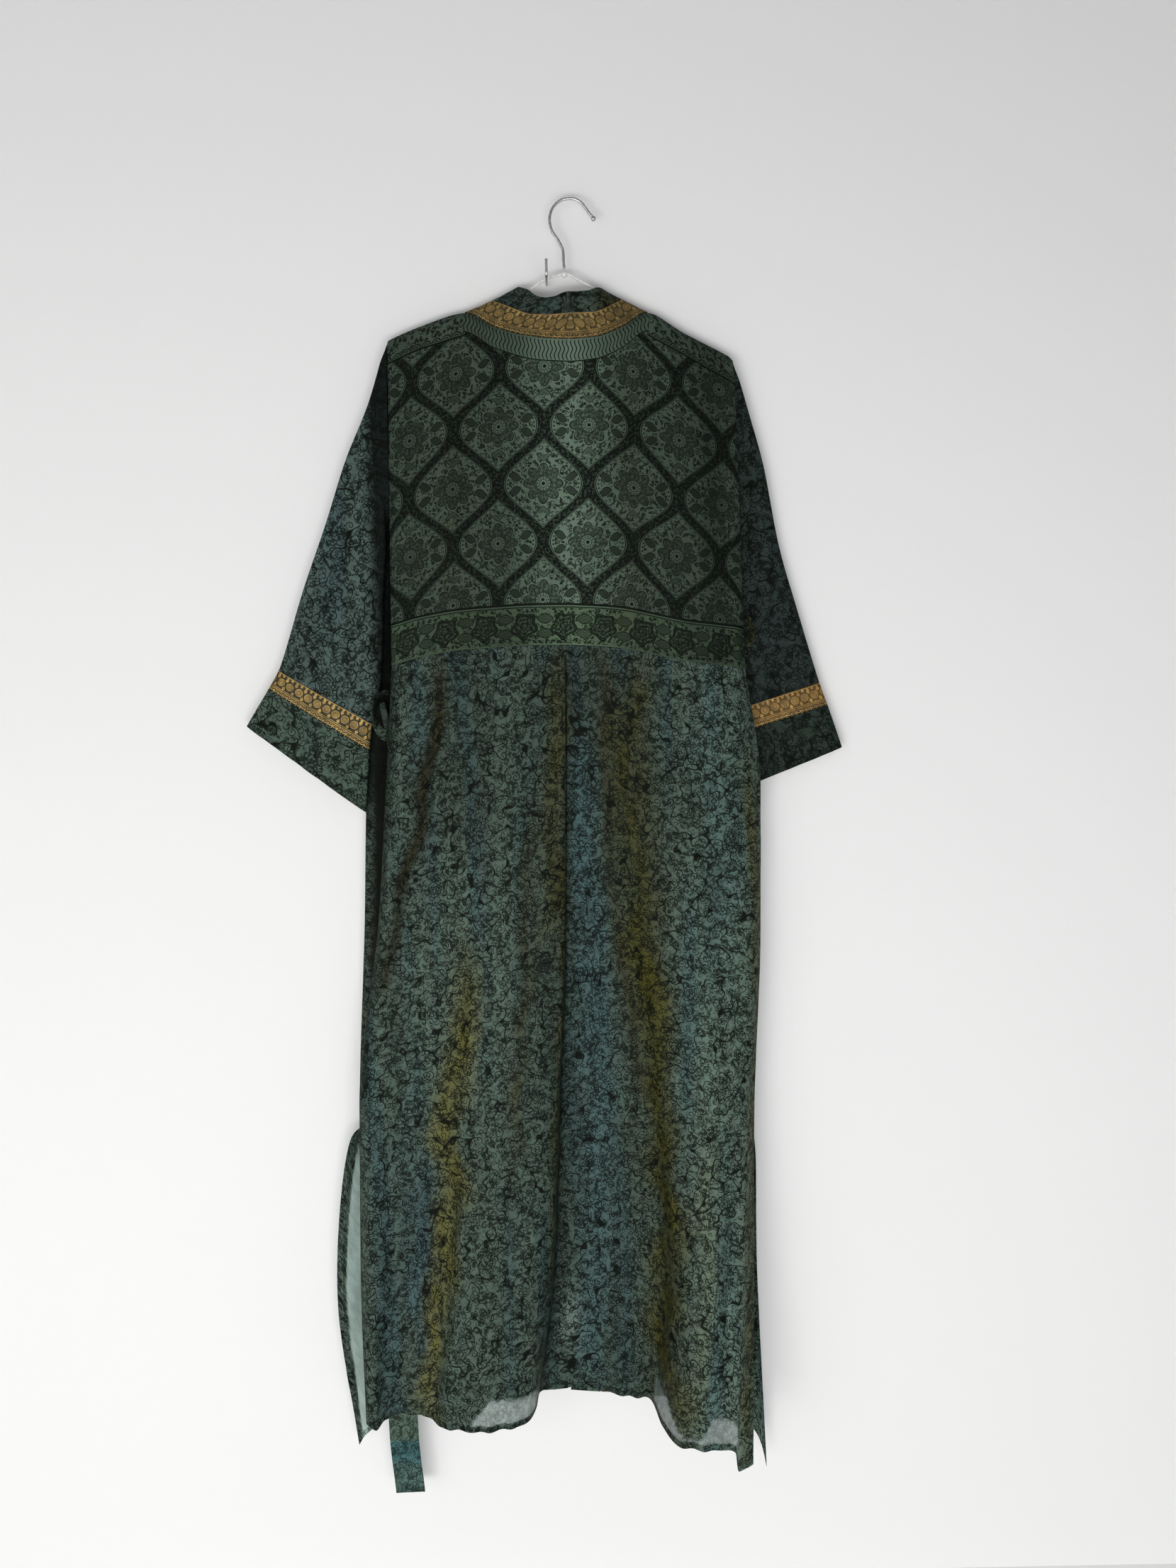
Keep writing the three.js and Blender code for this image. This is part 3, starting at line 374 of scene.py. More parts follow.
def wrap_cols(u, v, gap):
    """uv of a tube with one more column, where it closes."""
    return np.concatenate([u, u[:, -1:] + gap[:, None]], axis=1), np.concatenate([v, v[:, :1]], axis=1)


def area_of(o):
    me = o.data
    a = np.zeros(len(me.polygons))
    me.polygons.foreach_get("area", a)
    return float(a.sum()) / 2


# ------------------------------------------------------------------ materials
def lin(r, g, b):
    """Linear colour of a display colour, 0 to 255."""
    return tuple(c / 12.92 if c <= 0.04045 else ((c + 0.055) / 1.055) ** 2.4 for c in (r / 255, g / 255, b / 255))


class Val:
    """A node's output, with arithmetic."""

    def __init__(self, net, sock):
        self.net, self.s = net, sock

    def __add__(self, o): return self.net.m("ADD", self, o)
    def __radd__(self, o): return self.net.m("ADD", o, self)
    def __sub__(self, o): return self.net.m("SUBTRACT", self, o)
    def __rsub__(self, o): return self.net.m("SUBTRACT", o, self)
    def __mul__(self, o): return self.net.m("MULTIPLY", self, o)
    def __rmul__(self, o): return self.net.m("MULTIPLY", o, self)
    def __truediv__(self, o): return self.net.m("DIVIDE", self, o)
    def __neg__(self): return self.net.m("MULTIPLY", self, -1.0)


class Net:
    """A material's nodes."""

    def __init__(self, name):
        self.mat = bpy.data.materials.new(name)
        self.mat.use_nodes = True
        self.t = self.mat.node_tree
        self.t.nodes.clear()
        self.out = self.node("ShaderNodeOutputMaterial")

    def node(self, kind, **props):
        n = self.t.nodes.new(kind)
        for k, v in props.items():
            setattr(n, k, v)
        return n

    def put(self, sock, value):
        if isinstance(value, Val):
            self.t.links.new(value.s, sock)
        elif value is not None:
            sock.default_value = value

    def m(self, op, a, b=None, c=None, clamp=False):
        n = self.node("ShaderNodeMath", operation=op, use_clamp=clamp)
        for s, v in zip(n.inputs, (a, b, c)):
            self.put(s, v)
        return Val(self, n.outputs[0])

    def abs(self, a): return self.m("ABSOLUTE", a)
    def frac(self, a): return self.m("FRACT", a)
    def sin(self, a): return self.m("SINE", a)
    def cos(self, a): return self.m("COSINE", a)
    def max(self, a, *rest):
        for b in rest:
            a = self.m("MAXIMUM", a, b)
        return a
    def min(self, a, *rest):
        for b in rest:
            a = self.m("MINIMUM", a, b)
        return a
    def clamp(self, a): return self.m("ADD", a, 0.0, clamp=True)
    def near(self, a, period, shift=0.0):
        """Signed distance to the nearest of lines `period` apart."""
        return (self.frac((a + (shift + period / 2)) / period) - 0.5) * period

    def ramp(self, x, a, b, lo=0.0, hi=1.0):
        n = self.node("ShaderNodeMapRange", interpolation_type="SMOOTHSTEP")
        for s, v in zip(n.inputs, (x, a, b, lo, hi)):
            self.put(s, v)
        return Val(self, n.outputs[0])

    def below(self, x, at, soft): return self.ramp(x, at - soft, at + soft, 1.0, 0.0)
    def above(self, x, at, soft): return self.ramp(x, at - soft, at + soft, 0.0, 1.0)
    def line(self, x, half, soft): return self.below(self.abs(x), half, soft)

    def uv(self, name="cut"):
        n = self.node("ShaderNodeUVMap", uv_map=name)
        s = self.node("ShaderNodeSeparateXYZ")
        self.t.links.new(n.outputs[0], s.inputs[0])
        return Val(self, s.outputs[0]) * 100.0, Val(self, s.outputs[1]) * 100.0

    def vec(self, x, y, z=0.0):
        n = self.node("ShaderNodeCombineXYZ")
        for s, v in zip(n.inputs, (x, y, z)):
            self.put(s, v)
        return Val(self, n.outputs[0])

    def attr(self, name, colour=False):
        n = self.node("ShaderNodeAttribute", attribute_name=name)
        return Val(self, n.outputs["Color" if colour else "Fac"])

    def noise(self, x, y, wx, wy, detail=2.0, rough=0.5, seed=0.0):
        n = self.node("ShaderNodeTexNoise", noise_dimensions="2D")
        self.put(n.inputs["Vector"], self.vec(x / wx + seed, y / wy + seed * 0.7))
        n.inputs["Scale"].default_value = 1.0
        n.inputs["Detail"].default_value = detail
        n.inputs["Roughness"].default_value = rough
        return Val(self, n.outputs["Fac"])

    def cell(self, x, y, size, rand=0.85, seed=0.0):
        """Place within the nearest of scattered points, and its three chances."""
        n = self.node("ShaderNodeTexVoronoi", voronoi_dimensions="2D", feature="F1")
        at = self.vec(x / size + seed, y / size + seed * 1.3)
        self.put(n.inputs["Vector"], at)
        n.inputs["Scale"].default_value = 1.0
        n.inputs["Randomness"].default_value = rand
        d = self.node("ShaderNodeVectorMath", operation="SUBTRACT")
        self.t.links.new(at.s, d.inputs[0])
        self.t.links.new(n.outputs["Position"], d.inputs[1])
        s = self.node("ShaderNodeSeparateXYZ")
        self.t.links.new(d.outputs[0], s.inputs[0])
        c = self.node("ShaderNodeSeparateColor")
        self.t.links.new(n.outputs["Color"], c.inputs[0])
        return Val(self, s.outputs[0]) * size, Val(self, s.outputs[1]) * size, [Val(self, q) for q in c.outputs]

    def turn(self, x, y, a):
        c, s = self.cos(a), self.sin(a)
        return x * c + y * s, y * c - x * s

    def radius(self, x, y): return self.m("SQRT", x * x + y * y)

    def mix(self, a, b, f):
        n = self.node("ShaderNodeMix", data_type="RGBA")
        self.put(n.inputs[0], f)
        for s, v in ((n.inputs[6], a), (n.inputs[7], b)):
            self.put(s, (*v, 1.0) if isinstance(v, tuple) else v)
        return Val(self, n.outputs[2])

    def tone(self, colour, f):
        """Colour times a number."""
        n = self.node("ShaderNodeVectorMath", operation="SCALE")
        self.put(n.inputs[0], colour)
        self.put(n.inputs["Scale"], f)
        return Val(self, n.outputs[0])

    def bump(self, height, strength, mm):
        n = self.node("ShaderNodeBump")
        n.inputs["Strength"].default_value = strength
        n.inputs["Distance"].default_value = mm / 1000.0
        self.put(n.inputs["Height"], height)
        return Val(self, n.outputs[0])

    def cloth(self, colour, rough=0.66, normal=None, alpha=None, sheen=0.0, metal=None, spec=0.05):
        p = self.node("ShaderNodeBsdfPrincipled")
        self.put(p.inputs["Base Color"], (*colour, 1.0) if isinstance(colour, tuple) else colour)
        self.put(p.inputs["Roughness"], rough)
        p.inputs["Sheen Weight"].default_value = sheen
        p.inputs["Sheen Roughness"].default_value = 0.45
        p.inputs["Specular IOR Level"].default_value = spec
        if metal is not None:
            self.put(p.inputs["Metallic"], metal)
        if normal is not None:
            self.put(p.inputs["Normal"], normal)
        if alpha is not None:
            self.put(p.inputs["Alpha"], alpha)
        self.t.links.new(p.outputs[0], self.out.inputs[0])
        return p


# Motifs.  Each gives how much ink lies at a point, 0 to 1.
def curls(n, x, y, size, pitch, reach, half, seed):
    """Spiral curls, one in each cell, some wound the other way."""
    qx, qy, (r1, r2, r3) = n.cell(x, y, size, 0.9, seed)
    side = n.m("GREATER_THAN", r2, 0.5) * 2.0 - 1.0
    r = n.radius(qx, qy)
    turn = n.m("ARCTAN2", qy * side, qx) / (2 * math.pi)
    s = n.abs(n.frac(turn + r / pitch + r1) - 0.5) * pitch
    return n.below(s, half, 0.22) * n.below(r, (r3 * 0.5 + 0.62) * reach, 0.5) * n.above(r, 0.5, 0.3)


def leaves(n, x, y, size, length, width, seed, fill=0.55):
    """Small pointed leaves with an outline and a vein."""
    qx, qy, (r1, r2, r3) = n.cell(x, y, size, 0.9, seed)
    a, b = n.turn(qx, qy, r1 * (2 * math.pi))
    l = (r2 * 0.5 + 0.7) * length
    bend = a * a / l * 0.35
    b = b - bend
    inside = (1.0 - (a / l) * (a / l)) * width - n.abs(b)
    body = n.above(inside, 0.0, 0.15)
    edge = n.line(inside - 0.25, 0.28, 0.15)
    vein = n.line(b, 0.16, 0.1) * body
    return n.max(n.max(edge, vein), body * fill)


def sprigs(n, x, y, size, seed):
    """A stem with paired leaflets in each cell."""
    qx, qy, (r1, r2, r3) = n.cell(x, y, size, 0.8, seed)
    a, b = n.turn(qx, qy, r1 * (2 * math.pi))
    b = b - n.sin(a * (3.0 / size)) * (size * 0.06)
    within = n.line(a, size * 0.36, 0.4)
    stem = n.line(b, 0.3, 0.15)
    s = n.near(a, 3.1)
    side = n.abs(b)
    taper = (1.0 - n.abs(a) / (size * 0.42)) * 3.4
    leaf = n.line(s - side * 0.45, 0.55, 0.3) * n.below(side, taper, 0.3)
    return n.max(stem, leaf) * within


def stars(n, x, y, size, radius, seed, petals=5):
    """Small open flowers."""
    qx, qy, (r1, r2, r3) = n.cell(x, y, size, 0.75, seed)
    r = n.radius(qx, qy)
    th = n.m("ARCTAN2", qy, qx) + r1 * 6.28
    rim = (n.abs(n.cos(th * (petals / 2.0))) * 0.5 + 0.5) * radius
    ring = n.line(r - rim, 0.33, 0.2)
    heart = n.line(r - 0.9, 0.45, 0.2)
    ray = n.line(n.near(th, 2 * math.pi / petals) * r, 0.16, 0.1) * n.below(r, rim, 0.1) * 0.7
    return n.max(ring, heart, ray)


def roses(n, x, y, size, radius, seed):
    """Larger blossoms of nested wavy rings."""
    qx, qy, (r1, r2, r3) = n.cell(x, y, size, 0.7, seed)
    r = n.radius(qx, qy)
    th = n.m("ARCTAN2", qy, qx) + r1 * 6.28
    w = r * (1.0 + n.sin(th * 5.0) * 0.12) + n.sin(th * 3.0 + r * 0.35) * 0.8
    ring = n.below(n.abs(n.near(w, 3.6)), 0.45, 0.25)
    return ring * n.below(w, radius, 0.5)


def stems(n, x, y, size, half, seed):
    """Long wandering stems."""
    f = n.noise(x, y, size, size, 1.0, 0.4, seed)
    return n.line((f - 0.5) * size, half, 0.3)


def vine(n, x, y, s, seed=0.0, rose=True):
    """The all-over scrolling floral of the skirt and sleeves; s is its scale."""
    x, y = x / s, y / s
    crowd = n.noise(x, y, 17.0, 15.0, 2.0, 0.6, 3.1 + seed)
    thick = n.ramp(crowd, 0.37, 0.63)
    ink = n.max(curls(n, x, y, 9.6, 3.3, 4.3, 0.46, 0.0 + seed),
                curls(n, x, y, 15.0, 3.9, 5.8, 0.50, 41.3 + seed))
    ink = n.max(ink, leaves(n, x, y, 6.4, 3.0, 1.5, 11.7 + seed, 0.85) * (thick * 0.65 + 0.28))
    ink = n.max(ink, leaves(n, x, y, 8.6, 3.8, 1.9, 23.1 + seed, 0.8) * thick)
    ink = n.max(ink, sprigs(n, x, y, 19.0, 5.3 + seed))
    ink = n.max(ink, stems(n, x, y, 22.0, 0.42, 2.2 + seed))
    ink = n.max(ink, stars(n, x, y, 24.0, 4.2, 7.9 + seed))
    if rose:
        ink = n.max(ink, roses(n, x, y, 92.0, 12.0, 1.7 + seed))
    return ink, thick


def finish_print(n, u, v, colour, ink, shade, ink_colour=lin(9, 14, 9), depth=0.98):
    """Ink on the ground cloth, with a soft uneven dye and thread slubs."""
    dye = n.noise(u, v, 30.0, 70.0, 3.0, 0.6, 12.0) * 0.32 + 0.84
    slub = n.noise(u, v, 0.7, 16.0, 1.0, 0.5, 1.0) * 0.14 + n.noise(u, v, 22.0, 0.8, 1.0, 0.5, 4.0) * 0.14 + 0.86
    ground = n.tone(colour, dye * slub * shade)
    return n.mix(ground, ink_colour, n.clamp(ink * depth))


def cloth_bump(n, u, v, extra=None):
    h = n.noise(u, v, 26.0, 60.0, 3.0, 0.55, 30.0) * 0.9 + n.noise(u, v, 6.0, 9.0, 2.0, 0.6, 31.0) * 0.16 \
        + n.noise(u, v, 0.6, 0.6, 1.0, 0.5, 33.0) * 0.05
    if extra is not None:
        h = h + extra
    return n.bump(h, 0.55, 1.6)


def edge_work(n, edge, u, band, dash_at):
    """Darkening of a turned hem and its stitch line; edge is mm from the rim."""
    turned = n.below(edge, band, 0.35)
    step = n.line(edge - band, 0.45, 0.25)
    stitch = n.line(edge - dash_at, 0.22, 0.12) * n.below(n.abs(n.near(u, 2.6)), 0.85, 0.15)
    return turned, step, stitch


def silk(name, s=1.0, seed=0.0, sheer=False, hem=True, rose=True, depth=0.98):
    n = Net(name)
    u, v = n.uv()
    ink, thick = vine(n, u, v, s, seed, rose)
    shade = 1.0 - thick * 0.12
    extra = None
    alpha = None
    if hem:
        edge = n.attr("edge")
        turned, step, stitch = edge_work(n, edge, u, 7.0, 5.8)
        shade = shade * (1.0 - turned * 0.20) * (1.0 - step * 0.28)
        ink = n.max(ink, stitch * 0.75)
        extra = turned * 0.30
    if sheer:
        thin = n.attr("sheer")
        if hem:
            thin = thin * (1.0 - turned * 0.9)
        ink = ink * (1.0 - thin * 1.55)
    colour = finish_print(n, u, v, n.attr("tint", True), ink, shade, depth=depth)
    if sheer:
        alpha = 1.0 - thin * (1.0 - ink * 0.75)
    n.cloth(colour, 0.62, cloth_bump(n, u, v, extra), alpha)
    return n.mat


def yoke_print():
    """Rows of rosettes in an ogee lattice over a border of blossoms."""
    n = Net("yoke_silk")
    u, v = n.uv()
    rise = n.attr("rise")          # mm above the waist seam
    fall = n.attr("fall")          # mm below the shoulder line or neck seam
    # ogee lattice: two families of waves that touch
    W, H = 104.0, 132.0
    y = rise - 52.0
    wave = n.cos(y * (2 * math.pi / H)) * (W / 4)
    da = n.near(u - wave, W)
    db = n.near(u + wave - W / 2, W)
    lat = n.min(n.abs(da), n.abs(db))
    # centre of the cell a point is in
    odd = n.m("GREATER_THAN", n.abs(n.near(y, H)), H / 4)
    cy = n.near(y + odd * (H / 2), H)
    # the cells' hearts sit where the waves are widest apart
    hx = n.near(u + W / 4 - odd * (W / 2), W)
    hy = cy
    r = n.radius(hx, hy)
    th = n.m("ARCTAN2", hx, hy)
    petal = n.abs(n.cos(th * 4.0))
    ink = n.line(lat - 8.2, 0.6, 0.25)
    ink = n.max(ink, n.line(lat - 6.4, 0.5, 0.2))
    band = n.below(lat, 6.4, 0.3)
    grain = n.noise(u, v, 3.0, 3.0, 2.0, 0.6, 8.0)
    ink = n.max(ink, band * (n.ramp(grain, 0.34, 0.52) * 0.30 + 0.70))
    dots = n.radius(n.near(rise, 4.6), lat - 11.2)
    ink = n.max(ink, n.below(dots, 1.05, 0.3))
    # rosette
    R1 = petal * 7.0 + 15.5
    rim = r - R1
    ink = n.max(ink, n.line(rim, 0.65, 0.3), n.line(rim + 3.0, 0.3, 0.2) * 0.8)
    ink = n.max(ink, n.line(n.near(th, math.pi / 8) * r, 0.28, 0.15) * n.below(r, R1 - 3.4, 0.4) * n.above(r, 8.6, 0.4))
    ink = n.max(ink, n.line(r - 8.4, 0.5, 0.25), n.line(r - 4.4, 0.35, 0.2))
    ink = n.max(ink, n.below(n.radius(n.near(th, math.pi / 6) * r, r - 6.4), 0.8, 0.3))
    ink = n.max(ink, n.below(r, 2.0, 0.4))
    ink = n.max(ink, n.below(rim, 0.0, 0.4) * n.above(r, 8.4, 0.4) * (n.ramp(grain, 0.34, 0.56) * 0.5 + 0.3))
    # palmettes above and below the rosette
    ay = n.abs(hy)
    k = (ay - 27.0) / 24.0
    drop = (1.0 - (k - 0.42) * (k - 0.42) * 4.2) * 8.6 - n.abs(hx)
    ink = n.max(ink, n.line(drop, 0.8, 0.25), n.line(drop - 2.6, 0.45, 0.2))
    ink = n.max(ink, n.above(drop, 2.6, 0.3) * (n.line(n.near(ay * 1.0 - n.abs(hx) * 0.9, 3.0), 0.62, 0.2) * 0.6 + 0.3))
    # side leaves
    ax = n.abs(hx)
    q = (ax - 25.5) / 15.0
    leaf = (1.0 - (q - 0.45) * (q - 0.45) * 4.6) * 4.6 - n.abs(n.abs(hy) - ax * 0.34 + 3.0)
    ink = n.max(ink, n.line(leaf, 0.6, 0.25), n.above(leaf, 0.4, 0.3) * 0.8)
    # small sprigs and curls in what is left
    free = n.above(lat, 12.8, 0.5) * n.above(rim, 2.2, 0.5) * n.below(n.max(drop, leaf), -1.4, 0.4)
    small = n.max(sprigs(n, u, v, 12.0, 61.0), curls(n, u, v, 8.6, 3.1, 3.9, 0.46, 66.0),
                  leaves(n, u, v, 6.8, 3.0, 1.4, 71.0, 0.8))
    ink = n.max(ink, small * free)
    field = n.above(rise, 46.6, 0.35)
    ink = ink * field
    # double line over the waist border
    ink = n.max(ink, n.line(rise - 46.8, 1.3, 0.3), n.line(rise - 43.4, 0.6, 0.25))
    # waist border: blossoms with large leaves between
    bu = n.near(u + n.sin(rise * 0.11) * 2.0, 46.0)
    bv = rise - 22.0
    br = n.radius(bu, bv)
    bt = n.m("ARCTAN2", bu, bv)
    bw = br * (1.0 + n.cos(bt * 5.0) * 0.13) + n.sin(bt * 3.0 + br * 0.4) * 0.7
    low = n.below(rise, 42.4, 0.4)
    bloom = n.max(n.below(n.abs(n.near(bw, 4.0)), 0.7, 0.25) * n.below(bw, 13.8, 0.4), n.line(bw - 13.8, 0.8, 0.3))
    bloom = n.max(bloom, n.below(bw, 13.8, 0.4) * (n.ramp(grain, 0.36, 0.6) * 0.55 + 0.35))
    lx = n.abs(n.near(u + 23.0, 46.0))
    side = n.abs(bv) - 8.4
    big = (1.0 - (lx / 9.6) * (lx / 9.6)) * 5.4 - n.abs(side)
    bloom = n.max(bloom, n.line(big, 0.6, 0.25), n.above(big, 0.5, 0.3) * (n.line(n.near(lx + side * 0.8, 2.8), 0.6, 0.2) * 0.55 + 0.35))
    rest = n.below(n.max(big, 13.8 - bw), -0.9, 0.5)
    fill = n.max(leaves(n, u, v, 6.4, 3.0, 1.5, 81.0, 0.85), curls(n, u, v, 8.0, 3.0, 3.6, 0.46, 85.0))
    ink = n.max(ink, n.max(bloom, fill * rest) * low * n.above(rise, 1.5, 0.5))
    # shoulder line with a scalloped band above it
    top = n.attr("shoulder")       # mm below the shoulder fold, large under the neck
    under = n.above(top, 27.4, 0.3)
    scal = n.radius(n.near(u, 12.0), top - 26.0)
    strip = n.max(n.line(scal - 5.2, 0.7, 0.25), n.line(scal - 2.6, 0.6, 0.2), n.below(scal, 1.2, 0.3))
    strip = n.max(strip, n.max(leaves(n, u, v, 7.4, 3.2, 1.7, 91.0, 0.85), curls(n, u, v, 10.0, 3.4, 4.4, 0.5, 95.0)) * n.above(scal, 6.4, 0.4))
    strip = strip * n.below(top, 25.4, 0.3)
    ink = n.max(ink * under, strip, n.line(top - 27.0, 1.1, 0.25))
    # a fine ribbed edge round the neck
    rib = n.line(n.near(u + n.sin(fall * 0.42) * 1.2, 4.6), 0.75, 0.3) * n.below(fall, 23.6, 0.6) * n.above(fall, 1.5, 0.4)
    ink = n.max(ink * n.above(fall, 25.0, 0.4), n.max(rib * 0.92, n.line(fall - 24.8, 0.7, 0.25)))
    edge = n.attr("edge")
    turned, step, stitch = edge_work(n, edge, u, 5.0, 3.4)
    shade = (1.0 - step * 0.25) * (1.0 - n.ramp(n.noise(u, v, 30.0, 30.0, 2.0, 0.5, 51.0), 0.45, 0.7) * 0.12)
    ink = n.max(ink, stitch * 0.6)
    colour = finish_print(n, u, v, n.attr("tint", True), ink, shade, ink_colour=lin(7, 12, 7), depth=0.97)
    n.cloth(colour, 0.62, cloth_bump(n, u, v, turned * 0.25))
    return n.mat


def gold_print(name, wide, flip=False, seed=0.0, dark=lin(26, 34, 20), gap=lin(20, 29, 20), filling=0.12):
    """Woven gold border; u runs along it and v across it, 0 to `wide` mm."""
    n = Net(name)
    u, v = n.uv()
    if flip:
        v = wide - v
    sway = (n.noise(u, v, 40.0, 40.0, 1.0, 0.5, 5.0 + seed) - 0.5) * 1.2
    y = v + sway
    row = wide * 0.40
    gu = n.near(u, 12.4)
    r = n.radius(gu, y - row)
    th = n.m("ARCTAN2", gu, y - row)
    disc = n.below(r, 5.1, 0.25)
    ring = n.line(r - 4.2, 0.42, 0.2)
    ray = n.line(n.near(th, math.pi / 4) * r, 0.34, 0.2) * n.below(r, 3.6, 0.3) * n.above(r, 1.2, 0.2)
    eye = n.below(r, 0.95, 0.2)
    gd = n.abs(n.near(u - 6.2, 12.4))
    gem_up = 2.3 - gd - n.abs(y - (row - 5.6)) * 0.8
    gem_lo = 2.3 - gd - n.abs(y - (row + 5.6)) * 0.8
    gems = n.above(n.max(gem_up, gem_lo), 0.0, 0.25)
    small = n.below(n.radius(n.near(u, 6.2), y - wide * 0.10), 1.7, 0.25)
    rule = n.max(n.line(y - 0.9, 0.5, 0.2), n.line(y - wide * 0.70, 0.45, 0.2), n.line(y - wide * 0.77, 0.5, 0.2))
    scal = n.radius(n.near(u, 6.2), y - wide * 0.80)
    lace = n.max(n.below(n.abs(scal - 3.6), 0.6, 0.2), n.below(n.abs(scal - 1.4), 0.45, 0.2)) * n.above(y, wide * 0.80, 0.2)
    fringe = n.below(n.abs(n.near(u - 3.1, 6.2)), 0.45, 0.2) * n.above(y, wide * 0.88, 0.3)
    bright = n.max(ring, ray, eye, gems, small)
    bright = n.max(bright, rule, lace)
    bright = n.max(bright, fringe, disc * 0.42)
    thread = n.noise(u, v, 0.5, 3.0, 1.0, 0.5, 3.0) * 0.5 + n.noise(u, v, 3.0, 0.5, 1.0, 0.5, 6.0) * 0.5
    fill = n.ramp(n.noise(u, v, 2.2, 2.2, 2.0, 0.6, 14.0 + seed), 0.42, 0.58) * filling
    inner = n.below(y, wide * 0.80, 0.3)
    gold = n.max(bright, fill * inner)
    tint = n.attr("tint", True)
    wear = n.ramp(n.noise(u, v, 9.0, 9.0, 3.0, 0.6, 40.0 + seed), 0.30, 0.62) * 0.45 + 0.55
    hi = n.tone(tint, (thread * 0.7 + 0.62) * wear)
    base = n.mix(dark, gap, n.above(y, wide * 0.80, 0.3))
    colour = n.mix(base, hi, n.clamp(gold))
    h = n.clamp(gold) * 0.35 + thread * 0.12 + n.noise(u, v, 30.0, 30.0, 2.0, 0.5, 21.0) * 0.8
    n.cloth(colour, 0.50, n.bump(h, 0.6, 1.4), sheen=0.0, metal=n.clamp(gold) * 0.25, spec=0.2)
    return n.mat


def coated():
    """White plastic coat of the hanger's arms."""
    n = Net("coated_wire")
    c = n.node("ShaderNodeTexCoord")
    g = n.node("ShaderNodeTexNoise")
    n.t.links.new(c.outputs["Object"], g.inputs["Vector"])
    g.inputs["Scale"].default_value = 160.0
    g.inputs["Detail"].default_value = 3.0
    f = Val(n, g.outputs["Fac"])
    colour = n.mix(lin(232, 231, 228), lin(206, 203, 197), n.ramp(f, 0.45, 0.75))
    p = n.cloth(colour, f * 0.14 + 0.26, n.bump(f, 0.15, 0.3), sheen=0.0, spec=0.5)
    p.inputs["Coat Weight"].default_value = 0.5
    return n.mat


def satin(name, shade=1.0):
    """Satin steel, drawn along the wire."""
    n = Net(name)
    c = n.node("ShaderNodeTexCoord")
    g = n.node("ShaderNodeTexNoise")
    n.t.links.new(c.outputs["Object"], g.inputs["Vector"])
    g.inputs["Scale"].default_value = 420.0
    g.inputs["Detail"].default_value = 4.0
    f = Val(n, g.outputs["Fac"])
    colour = n.mix(tuple(0.62 * shade for _ in range(3)), tuple(0.40 * shade for _ in range(3)), n.ramp(f, 0.4, 0.7))
    n.cloth(colour, f * 0.16 + 0.24, n.bump(f, 0.2, 0.2), sheen=0.0, metal=1.0, spec=0.5)
    return n.mat


# ------------------------------------------------------------------ tints
TEAL = np.array(lin(91, 109, 98))
BLUE = np.array(lin(74, 99, 100))
GREY = np.array(lin(87, 99, 88))
OLIVE = np.array(lin(84, 82, 42))
# Brown of the painted shade down folds.
SHADE_BROWN = np.array(lin(52, 48, 26))


def blend3(a, b, f):
    return a * (1 - f[..., None]) + b * f[..., None]


def dyed(p, seed, blue=0.5, grey=0.35):
    """Ground colour in long uneven streaks of teal, blue and grey."""
    x, z = p[..., 0], p[..., 1]
    a = smooth(ripple(x, z, 70, 900, seed), -0.2, 1.1)
    b = smooth(ripple(x, z, 46, 700, seed + 1), 0.0, 1.2)
    c = blend3(np.broadcast_to(TEAL, p.shape), BLUE, a * blue)
    return blend3(c, GREY, b * grey)


def streak(p, c, pts, width, colour, strength, ends=60.0):
    """A long soft band of colour along a fold, between the ends of its line: dye streaks, and in dark browns and olives
    painted shade down the fold.
    """
    z = p[..., 1]
    zs = [q[1] for q in pts]
    d = p[..., 0] - path_x(pts, z) + width * 0.3 * ripple(p[..., 0] * 0, z, 60, 150, int(abs(pts[0][0])) + 3)
    f = np.exp(-np.abs(d / width) ** 2.4) * smooth(z, min(zs) - ends, min(zs) + ends) * smooth(-z, -max(zs) - ends, -max(zs) + ends)
    f = f * (0.78 + 0.22 * smooth(ripple(p[..., 0], z, 40, 90, int(abs(pts[0][0])) + 9), -1, 1))
    return blend3(c, colour, np.clip(f * strength, 0, 1))


MATERIALS = {}


def dress(o, material):
    o.data.materials.clear()
    if material not in MATERIALS:
        MATERIALS[material] = MAKERS[material]()
    o.data.materials.append(MATERIALS[material])
    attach(o, "root")
    return o


MAKERS = {
    "yoke": yoke_print,
    "skirt": lambda: silk("printed_silk_back", 1.0, 0.0, sheer=True),
    "front": lambda: silk("printed_silk_front", 1.0, 3.7, sheer=True),
    "sleeve": lambda: silk("printed_silk_sleeve", 1.12, 7.3),
    "band": lambda: silk("printed_silk_band", 1.0, 5.1, hem=False),
    "belt": lambda: silk("printed_silk_belt", 0.9, 9.4, rose=False, depth=0.8),
    "gold_sleeve": lambda: gold_print("gold_border_sleeve", 28.0),
    "gold_right": lambda: gold_print("gold_border_right", 28.0, seed=4.0, dark=lin(74, 54, 20), gap=lin(48, 38, 20), filling=0.22),
    "gold_neck": lambda: gold_print("gold_border_neck", 27.0, flip=True, seed=2.0, dark=lin(50, 46, 26), gap=lin(40, 40, 24), filling=0.22),
    "coated": coated,
    "satin": lambda: satin("satin_wire"),
    "nail": lambda: satin("satin_hook", 1.2),
}

